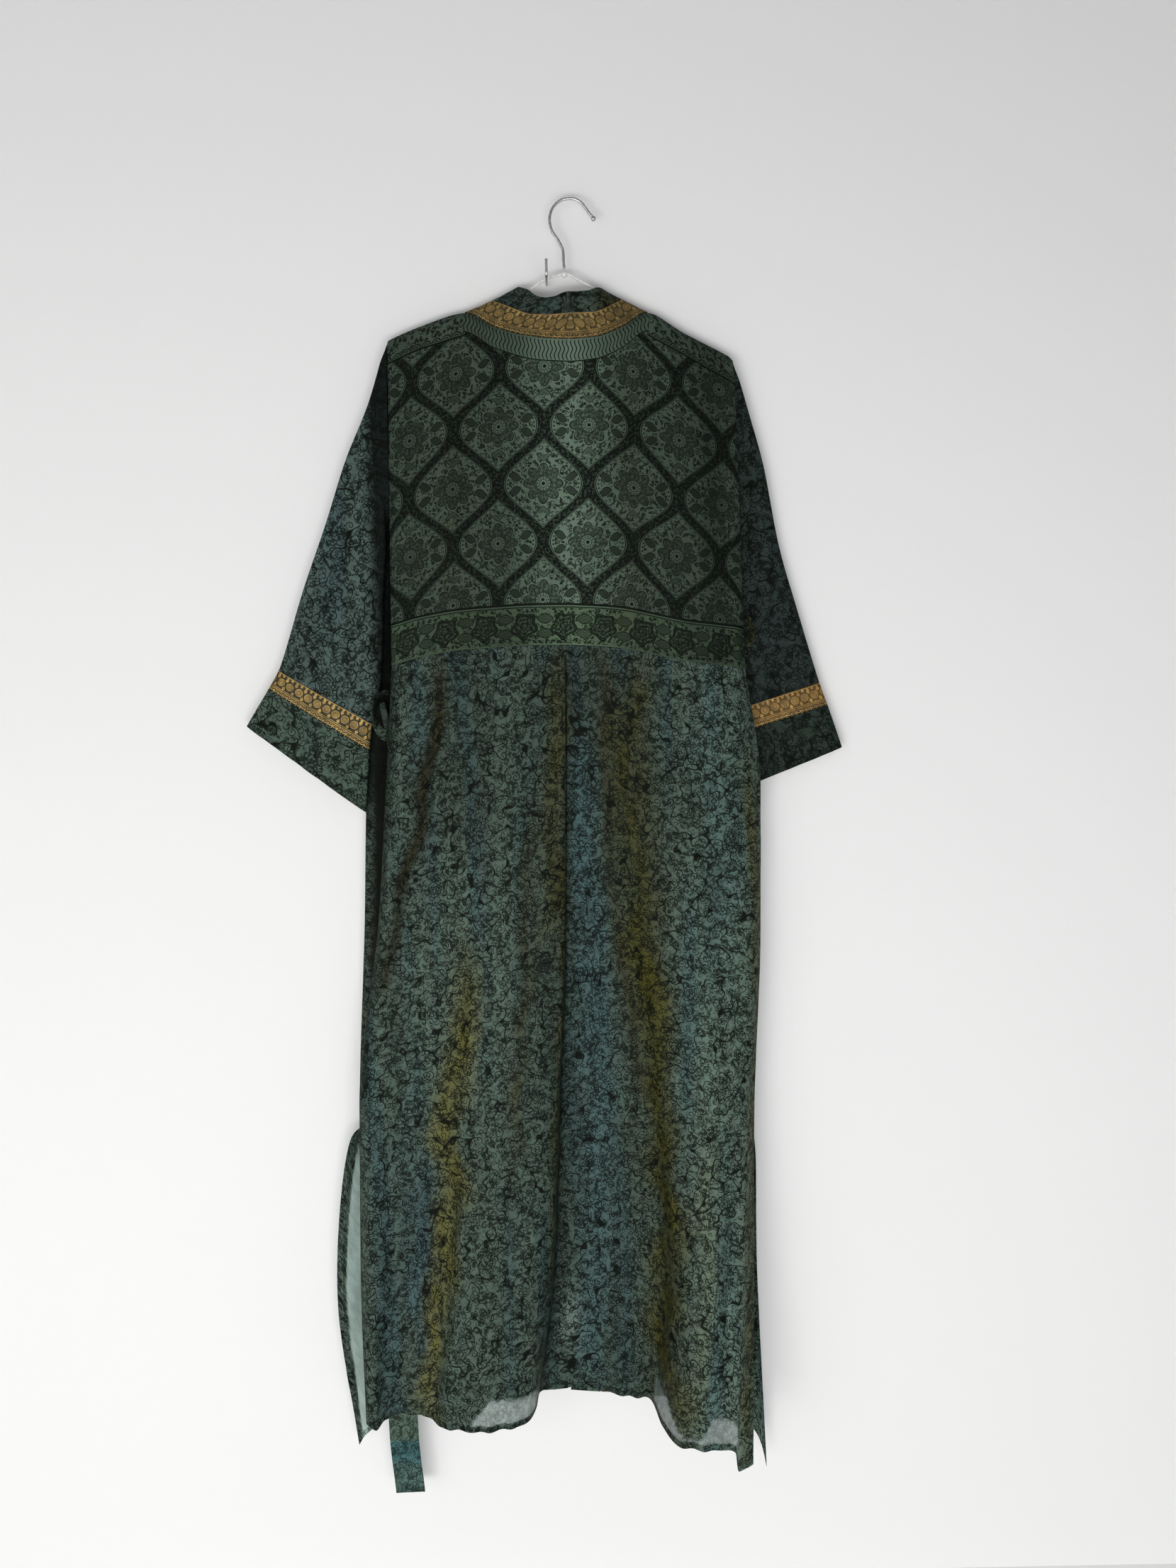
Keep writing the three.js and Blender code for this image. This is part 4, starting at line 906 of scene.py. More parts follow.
# ------------------------------------------------------------------ back yoke
T = list(BACK_YOKE.values())
us, vs = stops(T, 0, 3.4), stops(T, 1, 3.6, 3)
P = weave(BACK_YOKE, us, vs)
X, Z = P[..., 0], P[..., 1]
win = smooth(vs[:, None], 0.4, 1.4) * smooth(3 - vs[:, None], 0, 0.35) * smooth(us, 0, 0.9) * smooth(13 - us, 0, 0.9)
YOKE_CREASES = [
    ([(-150, -80), (-158, -170), (-163, -280), (-166, -400)], 9, -2.6),
    ([(-120, -95), (-118, -200), (-124, -330)], 14, 1.8),
    ([(-88, -75), (-92, -150), (-90, -260)], 8, -1.6),
    ([(-52, -85), (-45, -160), (-48, -250)], 11, 1.5),
    ([(22, -76), (24, -150), (20, -260), (17, -400)], 10, -1.5),
    ([(70, -75), (76, -160), (80, -300)], 10, 1.5),
    ([(112, -75), (126, -150), (138, -260), (141, -380)], 12, -2.2),
    ([(160, -95), (172, -200), (180, -330), (186, -420)], 12, 2.4),
    ([(196, -130), (198, -230), (205, -340)], 8, -2.0),
    ([(-170, -120), (-120, -140), (-80, -148)], 8, 1.2),
    ([(150, -110), (120, -128), (96, -132)], 8, 1.2),
]
D = sum(crease(P, a, w, d) for a, w, d in YOKE_CREASES) + 0.9 * ripple(X, Z, 60, 140, 5)
D = D + 0.8 * ripple(X, Z, 17, 60, 6) * smooth(vs[:, None], 2.3, 3)
P[..., 2] += D * win
yoke_top = P[0].copy()
yoke_bottom = P[-1].copy()
Wd = world(P)
U_, V_ = arcs(Wd, int(np.abs(X[0] - 22).argmin()))
total = V_[-1:, :]
ridge_z = np.interp(X, [-184, -145, -95, -61, 88, 115, 157, 213], [-63, -47, -33, 40, 40, -35, -58, -89])
c = dyed(P, 21, 0.30, 0.25)
c = blend3(c, np.array(lin(104, 122, 105)), np.full(X.shape, 0.78))
c = streak(P, c, [(-105, -60), (-112, -420)], 16, OLIVE, 0.22)
c = streak(P, c, [(88, -120), (92, -420)], 16, OLIVE, 0.22)
# Painted shade: the yoke is darkened away from the centre, and more toward both sides, where it turns away from the
# light.
c = c * (0.55 + 0.45 * np.exp(-((X - 22) / 46) ** 2))[..., None]
c = c * ((1 - 0.62 * smooth(X, 120, 205)) * (1 - 0.30 * smooth(-X, 110, 172)))[..., None]
waist = 1 - smooth(total - V_, 42, 50)
c = blend3(c, c * np.array((0.74, 0.80, 0.66)), waist)
# Painted light and shade: a brightness profile across the yoke, darker between the sides and lighter at the rolled
# edges, with more lift in the waist border.
upper = np.interp(X, [-185, -168, -140, -110, -51, -5, 20, 65, 123, 181, 198, 214], [1.05, 1.0, 0.9, 0.78, 0.82, 1.0, 1.0, 0.88, 0.78, 0.92, 1.3, 1.8])
lower = np.interp(X, [-185, -168, -130, -110, -51, 7, 65, 123, 181, 214], [1.7, 1.5, 1.1, 1.0, 0.85, 0.95, 1.0, 0.97, 1.35, 2.2])
c = c * (upper * (1 - waist) + lower * waist)[..., None]
yoke = shell("yoke_cloth", Wd, CLOTH, (U_, V_), {
    "tint": c, "rise": total - V_, "fall": np.where((us >= NECK_LEFT) & (us <= NECK_RIGHT), V_, 60.0 + V_),
    "shoulder": ridge_z - Z, "edge": np.minimum(total - V_ + 60 * (us[None, :] < 0), 40.0)},
    top_dir=((us <= NECK_LEFT) | (us >= NECK_RIGHT), (0, 0, 1.0)))
dress(yoke, "yoke")
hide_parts("back_yoke")

# ------------------------------------------------------------------ back skirt
T = list(BACK_SKIRT.values())
us, vs = stops(T, 0, 3.6), stops(T, 1, 5.2)
P = weave(BACK_SKIRT, us, vs)
X, Z = P[..., 0].copy(), P[..., 1].copy()
on = np.clip((us - 2) / 0.5, 0, 1)[None, :]
fade = np.exp(-((vs / 0.18) ** 2))[:, None]
goal = np.stack([np.interp(P[0, :, 0], yoke_bottom[:, 0], yoke_bottom[:, k]) for k in (1, 2)], -1)
goal[:, 0] -= 0.35
P[..., 1:] += (goal - P[0, :, 1:])[None] * (fade * on)[..., None]
SKIRT_CREASES = [
    ([(-135, -437), (-142, -536), (-170, -621), (-186, -685), (-202, -762), (-208, -822)], 8, -4.5),
    ([(-126, -440), (-130, -536), (-155, -625), (-172, -700), (-188, -780)], 9, 3.4),
    ([(2, -470), (0, -540), (-3, -620), (-7, -720)], 7, -2.6),
    ([(65, -481), (72, -652), (92, -800), (111, -953), (119, -1085), (125, -1150), (114, -1220), (116, -1338)], 10, -3.4),
    ([(-96, -640), (-108, -758), (-126, -946), (-134, -1097), (-148, -1211), (-155, -1349)], 9, -4.2),
    ([(-60, -700), (-66, -860), (-80, -1040), (-88, -1200), (-98, -1345)], 14, 3.2),
    ([(212, -1040), (206, -1120), (198, -1205), (196, -1300)], 8, -4.0),
    ([(168, -500), (178, -640), (186, -800), (190, -950)], 10, -2.8),
    ([(190, -560), (203, -720), (208, -880)], 9, 2.6),
    ([(140, -620), (150, -780), (158, -960), (160, -1120)], 12, 2.6),
    ([(40, -500), (50, -700), (58, -900), (62, -1100), (50, -1300)], 9, 2.2),
    ([(28, -700), (30, -860), (28, -1020), (14, -1200)], 8, -1.8),
    ([(-152, -640), (-165, -800), (-180, -960), (-186, -1120)], 9, -2.6),
    ([(-172, -980), (-176, -1100), (-178, -1230), (-180, -1330)], 10, 3.0),
    ([(-118, -1040), (-122, -1160), (-134, -1300)], 8, 2.4),
    ([(-40, -520), (-44, -640), (-48, -760)], 10, 1.8),
    ([(110, -450), (114, -540), (122, -640)], 8, 1.8),
]
D = sum(crease(P, a, w, d) for a, w, d in SKIRT_CREASES)
GATHERS = [(-160, 40, 1.4), (-141, 85, -1.6), (-118, 60, 1.2), (-98, 34, -1.2), (-76, 70, 1.4), (-52, 46, -1.3), (-30, 30, 1.0), (-8, 60, -1.4),
           (34, 50, 1.2), (58, 76, -1.5), (80, 36, 1.2), (102, 64, -1.3), (124, 44, 1.3), (147, 80, -1.6), (168, 36, 1.1), (188, 66, -1.4), (206, 42, 1.2)]
for gx, gl, gd in GATHERS:
    top = np.interp(gx, yoke_bottom[:, 0], yoke_bottom[:, 1])
    D = D + crease(P, [(gx, top + 6), (gx + gl * 0.03, top - gl * 0.5), (gx + gl * 0.08, top - gl)], 4.5, gd, 0.45)
hem_z = P[-1:, :, 1]
D = D + 1.1 * ripple(X, Z, 60, 320, 11) + 0.55 * ripple(X, Z, 22, 90, 12)
D = D + 1.2 * ripple(X, Z, 34, 400, 13) * smooth(vs[:, None], 4.2, 5)
win = smooth(vs[:, None], 0.02, 0.3) * smooth(us, 2.0, 4.0) * (1 - 0.75 * smooth(us, 10.4, 12) * smooth(14 - us, 0, 1.5))
P[..., 2] += D * win
P[-1, :, 1] += 0.0
P[..., 1] += 0.35 * ripple(X, Z * 0, 26, 400, 14) * smooth(vs[:, None], 4.9, 5.0) * smooth(us, 2, 3)
Wd = world(P)
ref = int(np.abs(us - 11).argmin())
U_, V_ = arcs(Wd, ref)
total = V_[-1:, :]
wide = np.abs(U_ - U_[:, -1:])
left = np.abs(U_ - U_[:, np.abs(us - 2).argmin()][:, None])
edge = np.minimum(total - V_, np.where(Z < -985, np.minimum(wide, left), 40.0))
edge = np.where(us[None, :] < 1.9, 20.0, edge)
c = dyed(P, 31, 0.7, 0.45)
c = c * (0.90 - 0.16 * smooth(Z, -760, -560) - 0.14 * smooth(-Z, 850, 1050) * (1 - smooth(X, 120, 170)))[..., None]
# Painted shade: a dark band just inside the rolled left edge, above the slit.
rim_x = path_x([(-189, -434), (-200, -577), (-213, -738), (-242, -963), (-244, -1170), (-238, -1342)], Z)
c = c * (1 - 0.5 * np.exp(-((X - rim_x - 2) / 8) ** 2) * smooth(Z, -1000, -930))[..., None]
for sx, sz, wx_, wz_, by in ((-19, -798, 20, 52, 0.42), (189, -700, 11, 44, 0.5), (-196, -876, 10, 60, 0.4), (-9, -910, 16, 60, 0.35), (121, -830, 14, 50, 0.3), (-186, -1120, 12, 90, 0.3)):
    c = c * (1 - by * np.exp(-((X - sx) / wx_) ** 2 - ((Z - sz) / wz_) ** 2))[..., None]
# Painted shade: a broad darker band down the middle, where the cloth sinks toward the pleat, weaker lower down.
c = c * (1 - 0.36 * np.exp(-((X - 45) / 62) ** 2) * (1 - 0.5 * smooth(-Z, 800, 1250)))[..., None]
c = c * (1 - 0.22 * np.exp(-((X + 105) / 40) ** 2) * smooth(Z, -700, -600))[..., None]
c = c * (1 + 0.30 * np.exp(-((X - 190) / 34) ** 2))[..., None]
c = streak(P, c, [(176, -450), (184, -640), (190, -840)], 16, BLUE * 1.08, 0.45)
c = streak(P, c, [(28, -520), (38, -700), (44, -900), (46, -1100), (30, -1340)], 24, BLUE * 1.04, 0.80)
c = streak(P, c, [(-178, -900), (-184, -1080), (-192, -1300)], 18, BLUE * 0.9, 0.45)
c = streak(P, c, [(84, -450), (88, -560), (94, -660), (104, -790), (114, -880)], 29, OLIVE * np.array((0.60, 0.60, 0.42)), 0.88, 55)
c = streak(P, c, [(98, -740), (116, -900), (127, -1085), (132, -1143), (122, -1220), (124, -1338)], 19, OLIVE * np.array((0.80, 0.78, 0.55)), 0.94, 60)
# Painted shade: a thin brown line down the fold trough right of the pleat.
c = streak(P, c, [(62, -430), (60, -520), (62, -640), (72, -760), (88, -860), (104, -960)], 7, SHADE_BROWN, 0.6, 40)
c = streak(P, c, [(-104, -790), (-112, -860), (-126, -946), (-138, -1097), (-154, -1211), (-166, -1349)], 21, OLIVE * 1.42, 0.92, 70)
# Painted shade: brown and dark olive bands down the left fold troughs, along the pleat's edge and to its left.
c = streak(P, c, [(-128, -437), (-142, -536), (-160, -621), (-180, -700), (-198, -770), (-208, -822)], 10, SHADE_BROWN * 0.85, 0.95, 20)
c = streak(P, c, [(6, -430), (4, -540), (0, -640), (-8, -760)], 15, OLIVE * 0.66, 0.85, 50)
c = np.where((us < 11.1)[None, :, None], streak(P, c, [(16, -600), (10, -800), (3, -950), (-5, -1100), (-9, -1250)], 9, OLIVE * 0.6, 0.85, 80), c)
c = streak(P, c, [(-32, -600), (-34, -720), (-42, -880), (-54, -1010)], 10, OLIVE * 0.6, 0.68, 70)
c = streak(P, c, [(-166, -1060), (-172, -1170), (-178, -1300)], 10, np.array(lin(56, 86, 98)), 0.6)
c = streak(P, c, [(224, -560), (242, -740), (236, -960), (226, -1200), (214, -1380)], 9, OLIVE, 0.7, 60)
c = streak(P, c, [(176, -1000), (170, -1180), (150, -1350)], 12, OLIVE * 1.5, 0.25)
shade = 1 - 0.5 * np.exp(-((us[None, :] - 12.0) / 0.45) ** 2)
c = c * shade[..., None]
# Painted shade: the turned-under side of the left edge is tinted half as dark.
c = np.where((us < 2.2)[None, :, None], c * 0.5, c)
# Painted light: the pale tint of silk lit through from behind where it hangs as a single layer.
painted_glow = np.array(lin(176, 194, 188))
patch = np.zeros(X.shape)
down = total - V_


def patch_mask(x0, x1, up, soft=3.5):
    """Where the hem hangs below the front panels and the light comes through."""
    side = smooth(X, x0 - soft, x0 + soft) * (1 - smooth(X, x1 - soft, x1 + soft))
    return side * (1 - smooth(down, up(X) - soft, up(X) + soft))


lobe_a = patch_mask(-110, -33, lambda x: np.interp(x, [-110, -103, -88, -60, -33], [14, 20, 38, 36, 34])) * (us < 11.2)[None, :]
lobe_b = patch_mask(101, 206, lambda x: np.interp(x, [101, 112, 124, 131, 136, 146, 156, 166, 172, 176, 190, 206], [46, 44, 38, 24, 16, 10, 11, 16, 30, 38, 36, 34])) * (us > 16.2)[None, :]
sheer = np.clip(np.maximum(lobe_a, lobe_b), 0, 1) * smooth(down, 6.6, 7.4)
# Painted light: the single-layer hem lobes are tinted pale, as if lit through from behind.
c = blend3(c, painted_glow * (0.86 - 0.24 * (X > 60))[..., None], sheer * 0.62)
# Painted light: a paler patch low in the pleat's recess.
c = blend3(c, painted_glow, 0.20 * np.exp(-(((X - 8) / 14) ** 2 + ((Z + 1255) / 45) ** 2)) * (us > 12.5))
skirt = shell("skirt_cloth", Wd, CLOTH, (U_, V_), {"tint": c, "edge": np.clip(edge, 0, 40), "sheer": sheer * 0.38})
dress(skirt, "skirt")
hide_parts("back_skirt")

# ------------------------------------------------------------------ fronts
FRONT_CREASES = {
    "left": [([(-150, -110), (-140, -220), (-128, -330), (-120, -440)], 12, 2.6), ([(-110, -80), (-102, -200), (-88, -330)], 9, -1.6),
             ([(-136, -520), (-146, -700), (-152, -900)], 13, 3.4), ([(-86, -480), (-90, -660), (-96, -860), (-100, -1080)], 12, -1.8),
             ([(-160, -1000), (-166, -1160), (-172, -1340)], 14, 3.6), ([(-92, -1040), (-96, -1200), (-104, -1330)], 12, 2.8),
             ([(-124, -1120), (-130, -1240), (-138, -1350)], 9, -1.8), ([(-214, -1100), (-216, -1240), (-222, -1380)], 10, 2.4)],
    "right": [([(170, -130), (158, -240), (146, -360)], 12, 2.4), ([(128, -90), (116, -210), (102, -320)], 9, -1.6),
              ([(150, -520), (158, -700), (162, -900)], 13, 3.2), ([(100, -500), (102, -680), (106, -880), (108, -1060)], 12, -1.8),
              ([(190, -1000), (194, -1160), (204, -1360)], 13, 3.4), ([(126, -1040), (130, -1200), (138, -1340)], 12, 2.8),
              ([(92, -1100), (96, -1230), (100, -1340)], 9, -1.8)],
}
FRONTS = {}
for side, table, node in (("left", FRONT_LEFT, "front_left"), ("right", FRONT_RIGHT, "front_right")):
    T = list(table.values())
    us, vs = stops(T, 0, 4.4), stops(T, 1, 6.0)
    P = weave(table, us, vs)
    X, Z = P[..., 0].copy(), P[..., 1].copy()
    k0, k1 = (4.2, 5.2) if side == "left" else (2.0, 3.0)
    win = smooth(us, k0, k1) * smooth((7 if side == "left" else 5) - us, 0, 0.8) * smooth(vs[:, None], 1.0, 2.0)
    D = sum(crease(P, a, w, d) for a, w, d in FRONT_CREASES[side]) + 0.5 * ripple(X, Z, 50, 260, 41)
    P[..., 2] += np.clip(D, -1.8, 6) * win
    if side == "left":
        low = smooth(vs[:, None], 9.0, 10.2) * (us < 4)[None, :]
        P[..., 2] += 1.2 * ripple(X, Z, 30, 90, 43) * low * smooth(us, 0.0, 0.4)
    FRONTS[side] = (P.copy(), us, vs)
    Wd = world(P if side == "left" else P[:, ::-1])
    U_, V_ = arcs(Wd, 0)
    total = V_[-1:, :]
    XX, ZZ = (X, Z) if side == "left" else (X[:, ::-1], Z[:, ::-1])
    QQ = P if side == "left" else P[:, ::-1]
    free = np.abs(U_) if side == "left" else np.abs(U_ - U_[:, -1:])
    slit = ZZ < (-1000 if side == "left" else -985)
    edge = np.minimum(total - V_, np.where(slit, free * (0.72 if side == "left" else 1.0), 40.0))
    c = dyed(QQ, 51 if side == "left" else 61, 0.5, 0.4)
    c = streak(QQ, c, [(-120, -500), (-130, -900), (-140, -1350)] if side == "left" else [(130, -500), (140, -900), (150, -1350)], 14, OLIVE, 0.7)
    sheer = np.zeros(XX.shape)
    if side == "left":
        rim = path_x([(-222, -985), (-244, -1042), (-250, -1170), (-243, -1342), (-232, -1400)], ZZ)
        facing = 12.0 * (1 - 0.25 * smooth(-ZZ, 1300, 1400))
        thin = smooth(-ZZ, 990, 1060) * (1 - smooth(XX, rim + 8, rim + 12)) * smooth(np.abs(U_), facing - 0.8, facing + 0.8)
        sheer = thin
        # Painted light: the single-layer slit facing is tinted pale, as if lit through from behind.
        c = blend3(c, painted_glow * np.array((0.88, 0.96, 0.93)), thin * 0.94)
        c = streak(QQ, c, [(-196, -480), (-204, -640), (-216, -760), (-232, -900), (-240, -985)], 10, OLIVE, 0.8)
        # Painted shade: the front panel's turned fold is darkened where it lies in the crevice between the sleeve and
        # the body, darkest high up and fading down to the slit.
        crevice_shade = 0.10 + 0.42 * smooth(-ZZ, 560, 640) + 0.2 * smooth(-ZZ, 700, 960)
        inside = XX - path_x([(-195, -262), (-202, -340), (-210, -435), (-226, -577), (-233, -740), (-246, -960), (-246, -1020)], ZZ)
        crevice_shade = crevice_shade * (1 - 0.88 * smooth(inside, 6, 13) * smooth(ZZ, -975, -930))
        crevice_shade = 1 - (1 - crevice_shade) * (1 - smooth(us, 2.9, 3.3))[None, :] * smooth(ZZ, -1000, -990)
        c = c * crevice_shade[..., None]
    o = shell("front_cloth_" + side, Wd, CLOTH, (U_, V_), {"tint": c, "edge": np.clip(edge, 0, 40), "sheer": sheer * 0.5}, flip=True,
              top_dir=(slice(None), (0, 0, 1.0)))
    dress(o, "front")
    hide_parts(node)
    FRONTS[side + "_object"] = o

# ------------------------------------------------------------------ neckband
bands = {}
for side in ("left", "right"):
    P, us, vs = FRONTS[side]
    t = NECK_FRONT[side]
    seam = P[::-1, -1]                                    # hem up to the ridge
    lv = vs[::-1]
    down = {k: track(t[k])(lv) for k in ("border", "edge")}
    back = {k: track([r[k] for r in NECK_BACK.values()]) for k in ("border", "edge")}
    a, b = (NECK_LEFT, CENTRE) if side == "left" else (NECK_RIGHT, CENTRE)
    yu = stops(list(BACK_YOKE.values()), 0, 3.4)
    pick = np.where((yu >= min(a, b) - 1e-9) & (yu <= max(a, b) + 1e-9))[0]
    if side == "right":
        pick = pick[::-1]
    s = yu[pick] - NECK_LEFT
    rows_seam = np.concatenate([seam[:-1], yoke_top[pick]])
    rows_border = np.concatenate([down["border"][:-1], back["border"](s)])
    rows_edge = np.concatenate([down["edge"][:-1], back["edge"](s)])
    n_front = len(seam) - 1
    for kind, r0, r1, m in (("gold", rows_seam, rows_border, 9), ("plain", rows_border, rows_edge, 11)):
        f = np.linspace(0, 1, m)[None, :, None]
        G = r0[:, None] * (1 - f) + r1[:, None] * f
        w3 = world(G)
        nrm = outward(w3) * (1 if side == "left" else -1)
        at_back = smooth(np.arange(len(G)), n_front - 4, n_front + 8)[:, None]
        bulge = np.sin(np.pi * f[..., 0]) * (0.5 if kind == "gold" else 0.8)
        x, z = G[..., 0], G[..., 1]
        lump = 0.35 * ripple(x, z, 20, 26, 71 if kind == "gold" else 72) * np.sin(np.pi * f[..., 0])
        tuck = 0
        if kind == "plain":
            for pts, w_, d_ in ([([(9, -16), (2, -30), (-6, -42)], 3.2, -2.2), ([(21, -18), (25, -30), (29, -42)], 3.0, -2.0), ([(-30, -10), (-22, -24), (-18, -36)], 4.0, -1.0),
                                 ([(40, -14), (46, -26), (52, -36)], 4.0, -1.2), ([(60, -10), (62, -20), (66, -30)], 3.5, -1.2)]):
                tuck = tuck + crease(G, pts, w_, d_, 0.1)
        w3 = w3 + nrm * ((bulge + lump) * (0.4 + 0.6 * at_back) + tuck * at_back)[..., None]
        # narrow gaps at the seams
        pull = lambda A, i, j, by: A.__setitem__((slice(None), i), A[:, i] + (A[:, j] - A[:, i]) / np.maximum(np.linalg.norm(A[:, j] - A[:, i], axis=-1, keepdims=True), 1e-6) * by)
        pull(w3, 0, 1, 0.35)
        if kind == "gold":
            pull(w3, -1, -2, 0.15)
        w3[-1] += (w3[-2] - w3[-1]) / np.linalg.norm(w3[-2] - w3[-1], axis=-1, keepdims=True) * 0.03
        U_, V_ = arcs(w3, 0)
        along = V_[-1:, 4:5] - V_
        bands[(side, kind)] = (w3, along, U_, at_back, G)

GOLD = np.array(lin(150, 124, 74))
for (side, kind), (w3, along, across, at_back, G) in bands.items():
    flip = side == "left"
    X, Z = G[..., 0], G[..., 1]
    if kind == "gold":
        sc = across / np.maximum(across[:, -1:], 1e-6) * 27.0
        c = np.broadcast_to(GOLD * 1.2, w3.shape) * (0.86 + 0.2 * smooth(ripple(X, Z, 40, 40, 81), -1, 1))[..., None]
        c = c * (1 - 0.35 * smooth(X, 60, 95) * at_back)[..., None]
        o = shell("neck_border_cloth_" + side, w3, STRAP, (along, sc), {"tint": c}, flip=flip)
        dress(o, "gold_neck")
        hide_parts("neckband_border_" + side)
    else:
        c = dyed(G, 91, 0.4, 0.4) * (0.92 - 0.42 * at_back)[..., None]
        c = blend3(c, OLIVE * 0.6, np.clip(at_back * smooth(X, 46, 70) * 0.8, 0, 1))
        c = c * (1 - 0.55 * at_back * np.exp(-((X - 27.0) / 1.4) ** 2))[..., None]
        # Painted shade: a dark line down the first tuck at the back of the neckband.
        c = c * (1 - 0.45 * at_back * (np.exp(-((X - path_x([(8, -18), (-6, -42)], Z)) / 2.4) ** 2)))[..., None]
        o = shell("neckband_cloth_" + side, w3, STRAP, (along, across), {"tint": c}, flip=flip)
        dress(o, "band")
        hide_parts("neckband_" + side)
    bands[(side, kind)] = o

# ------------------------------------------------------------------ sleeves
ROUND = 112


def sleeve_rings(table, ts):
    rows = list(table.values())
    top, low = track([r["top"] for r in rows])(ts), track([r["low"] for r in rows])(ts)
    out, half = track([r["out"] for r in rows])(ts), track([r["half"] for r in rows])(ts)
    a = 2 * np.pi * np.arange(ROUND) / ROUND
    w = 0.5 - 0.5 * np.sign(np.cos(a)) * np.abs(np.cos(a)) ** 0.8
    d = np.sign(np.sin(a)) * np.abs(np.sin(a)) ** 0.75
    xz = top[:, None] * (1 - w[None, :, None]) + low[:, None] * w[None, :, None]
    return np.concatenate([xz, (out[:, None] + half[:, None] * d[None, :])[..., None]], -1), w, d


SLEEVE_CREASES = {
    "left": [([(-205, -150), (-222, -230), (-236, -320), (-246, -420)], 9, -2.6), ([(-200, -210), (-212, -300), (-222, -390)], 8, 2.2),
             ([(-230, -200), (-252, -290), (-280, -400)], 12, 1.8), ([(-240, -330), (-262, -420), (-280, -470)], 9, -1.6),
             ([(-196, -280), (-206, -350), (-212, -430)], 6, -2.4), ([(-350, -512), (-334, -526), (-314, -540), (-290, -560)], 5, -2.6),
             ([(-345, -500), (-322, -514), (-296, -528)], 6, 1.6), ([(-262, -510), (-276, -560), (-284, -596)], 8, -1.6), ([(-236, -520), (-240, -570)], 7, 1.6),
             ([(-300, -430), (-318, -470)], 8, 1.2)],
    "right": [([(228, -160), (236, -250), (244, -340), (250, -430)], 9, -1.8), ([(222, -230), (228, -320), (232, -420)], 8, 1.6),
              ([(250, -240), (266, -330), (284, -430)], 10, 1.4), ([(262, -480), (268, -530), (270, -580)], 8, -1.6), ([(300, -490), (306, -530), (308, -560)], 8, 1.4),
              ([(225, -500), (226, -550), (226, -590)], 7, -1.2)],
}
for side, table in (("left", SLEEVE_LEFT), ("right", SLEEVE_RIGHT)):
    lastt = len(table) - 1
    for node, t0, t1, steps, kind in (("sleeve_" + side, 0, BORDER_UP, 110, "sleeve"), ("sleeve_border_" + side, BORDER_UP, BORDER_LO, 10, "gold"),
                                      ("cuff_" + side, BORDER_LO, lastt, 26, "cuff")):
        ts = np.linspace(t0, t1, steps + 1)
        P, w, d = sleeve_rings(table, ts)
        X, Z = P[..., 0].copy(), P[..., 1].copy()
        D = sum(crease(P, a, wd, dp) for a, wd, dp in SLEEVE_CREASES[side]) + 0.55 * ripple(X, Z, 34, 120, 101) + 0.25 * ripple(X, Z, 13, 40, 102)
        k = 1.0 if side == "left" else 0.8
        front = np.clip(d, 0, 1)[None, :] ** 1.5
        P[..., 2] += D * k * front * smooth(ts, 0, 0.6)[:, None]
        backf = np.clip(-d, 0, 1)[None, :] ** 1.5
        P[..., 2] += np.clip(0.8 * ripple(X, Z, 40, 130, 103), -0.6, 2.0) * backf * 0.6 * smooth(ts, 0, 0.6)[:, None]
        if kind == "sleeve":
            close = (2.1 + 1.7 * w) if side == "left" else -1.6 * (1 - smooth(w, 0.0, 0.35))
            P[..., 0] += close[None, :] * (1 - smooth(ts, 0, 0.35))[:, None]
        w3 = world(P)
        g = (w3[1] - w3[0]) / np.linalg.norm(w3[1] - w3[0], axis=-1, keepdims=True)
        w3[0] += g * 0.15
        g = (w3[-2] - w3[-1]) / np.linalg.norm(w3[-2] - w3[-1], axis=-1, keepdims=True)
        w3[-1] += g * 0.15
        U_, V_ = arcs(w3, 0)
        gap = np.linalg.norm(w3[:, 0] - w3[:, -1], axis=-1)
        fold = np.minimum(w, 1 - w)[None, :]
        if kind == "gold":
            vv = V_ / np.maximum(V_[-1:, :], 1e-6) * 28.0
            uv = wrap_cols(U_, vv, gap)
            c = np.broadcast_to((GOLD * 1.6 if side == "left" else np.array(lin(172, 138, 80))), w3.shape) * (0.85 + 0.25 * smooth(ripple(X, Z, 36, 36, 111), -1, 1))[..., None]
            o = shell(node.replace("sleeve_border", "sleeve_border_cloth"), w3, CLOTH, uv, {"tint": c}, flip=side == "right", close=True)
            dress(o, "gold_sleeve" if side == "left" else "gold_right")
        else:
            uv = wrap_cols(X - 300.0 * (d < 0)[None, :], -Z, gap * 0)
            c = dyed(P, 121 if side == "left" else 131, 0.7, 0.5)
            slate = np.array(lin(80, 97, 96))
            c = blend3(c, slate, np.full(X.shape, 0.5))
            # Painted shade: the right sleeve is tinted far darker all over, as it lies in shade, and the left one
            # darker toward the body and the armhole.
            if side == "right":
                c = c * 0.30
            else:
                c = c * (0.88 - 0.78 * np.clip(smooth(X, -218, -200) * smooth(Z, -600, -480) + smooth(ts, 1.3, 0.2)[:, None] * 0.5, 0, 1))[..., None]
            c = c * (1 - 0.10 * smooth(ripple(X, Z, 50, 160, 141), 0, 1.2))[..., None]
            if kind == "cuff":
                c = c * np.array((0.94, 0.96, 0.84))
            edge = np.minimum(V_[-1:, :] - V_, 40.0) if kind == "cuff" else np.minimum(V_[-1:, :] - V_ + 12.0, 40.0)
            o = shell(node.replace("sleeve_", "sleeve_cloth_").replace("cuff_", "cuff_cloth_"), w3, CLOTH, uv, {"tint": c, "edge": edge}, flip=side == "right", close=True)
            dress(o, "sleeve")
        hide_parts(node)
        bands[node] = o

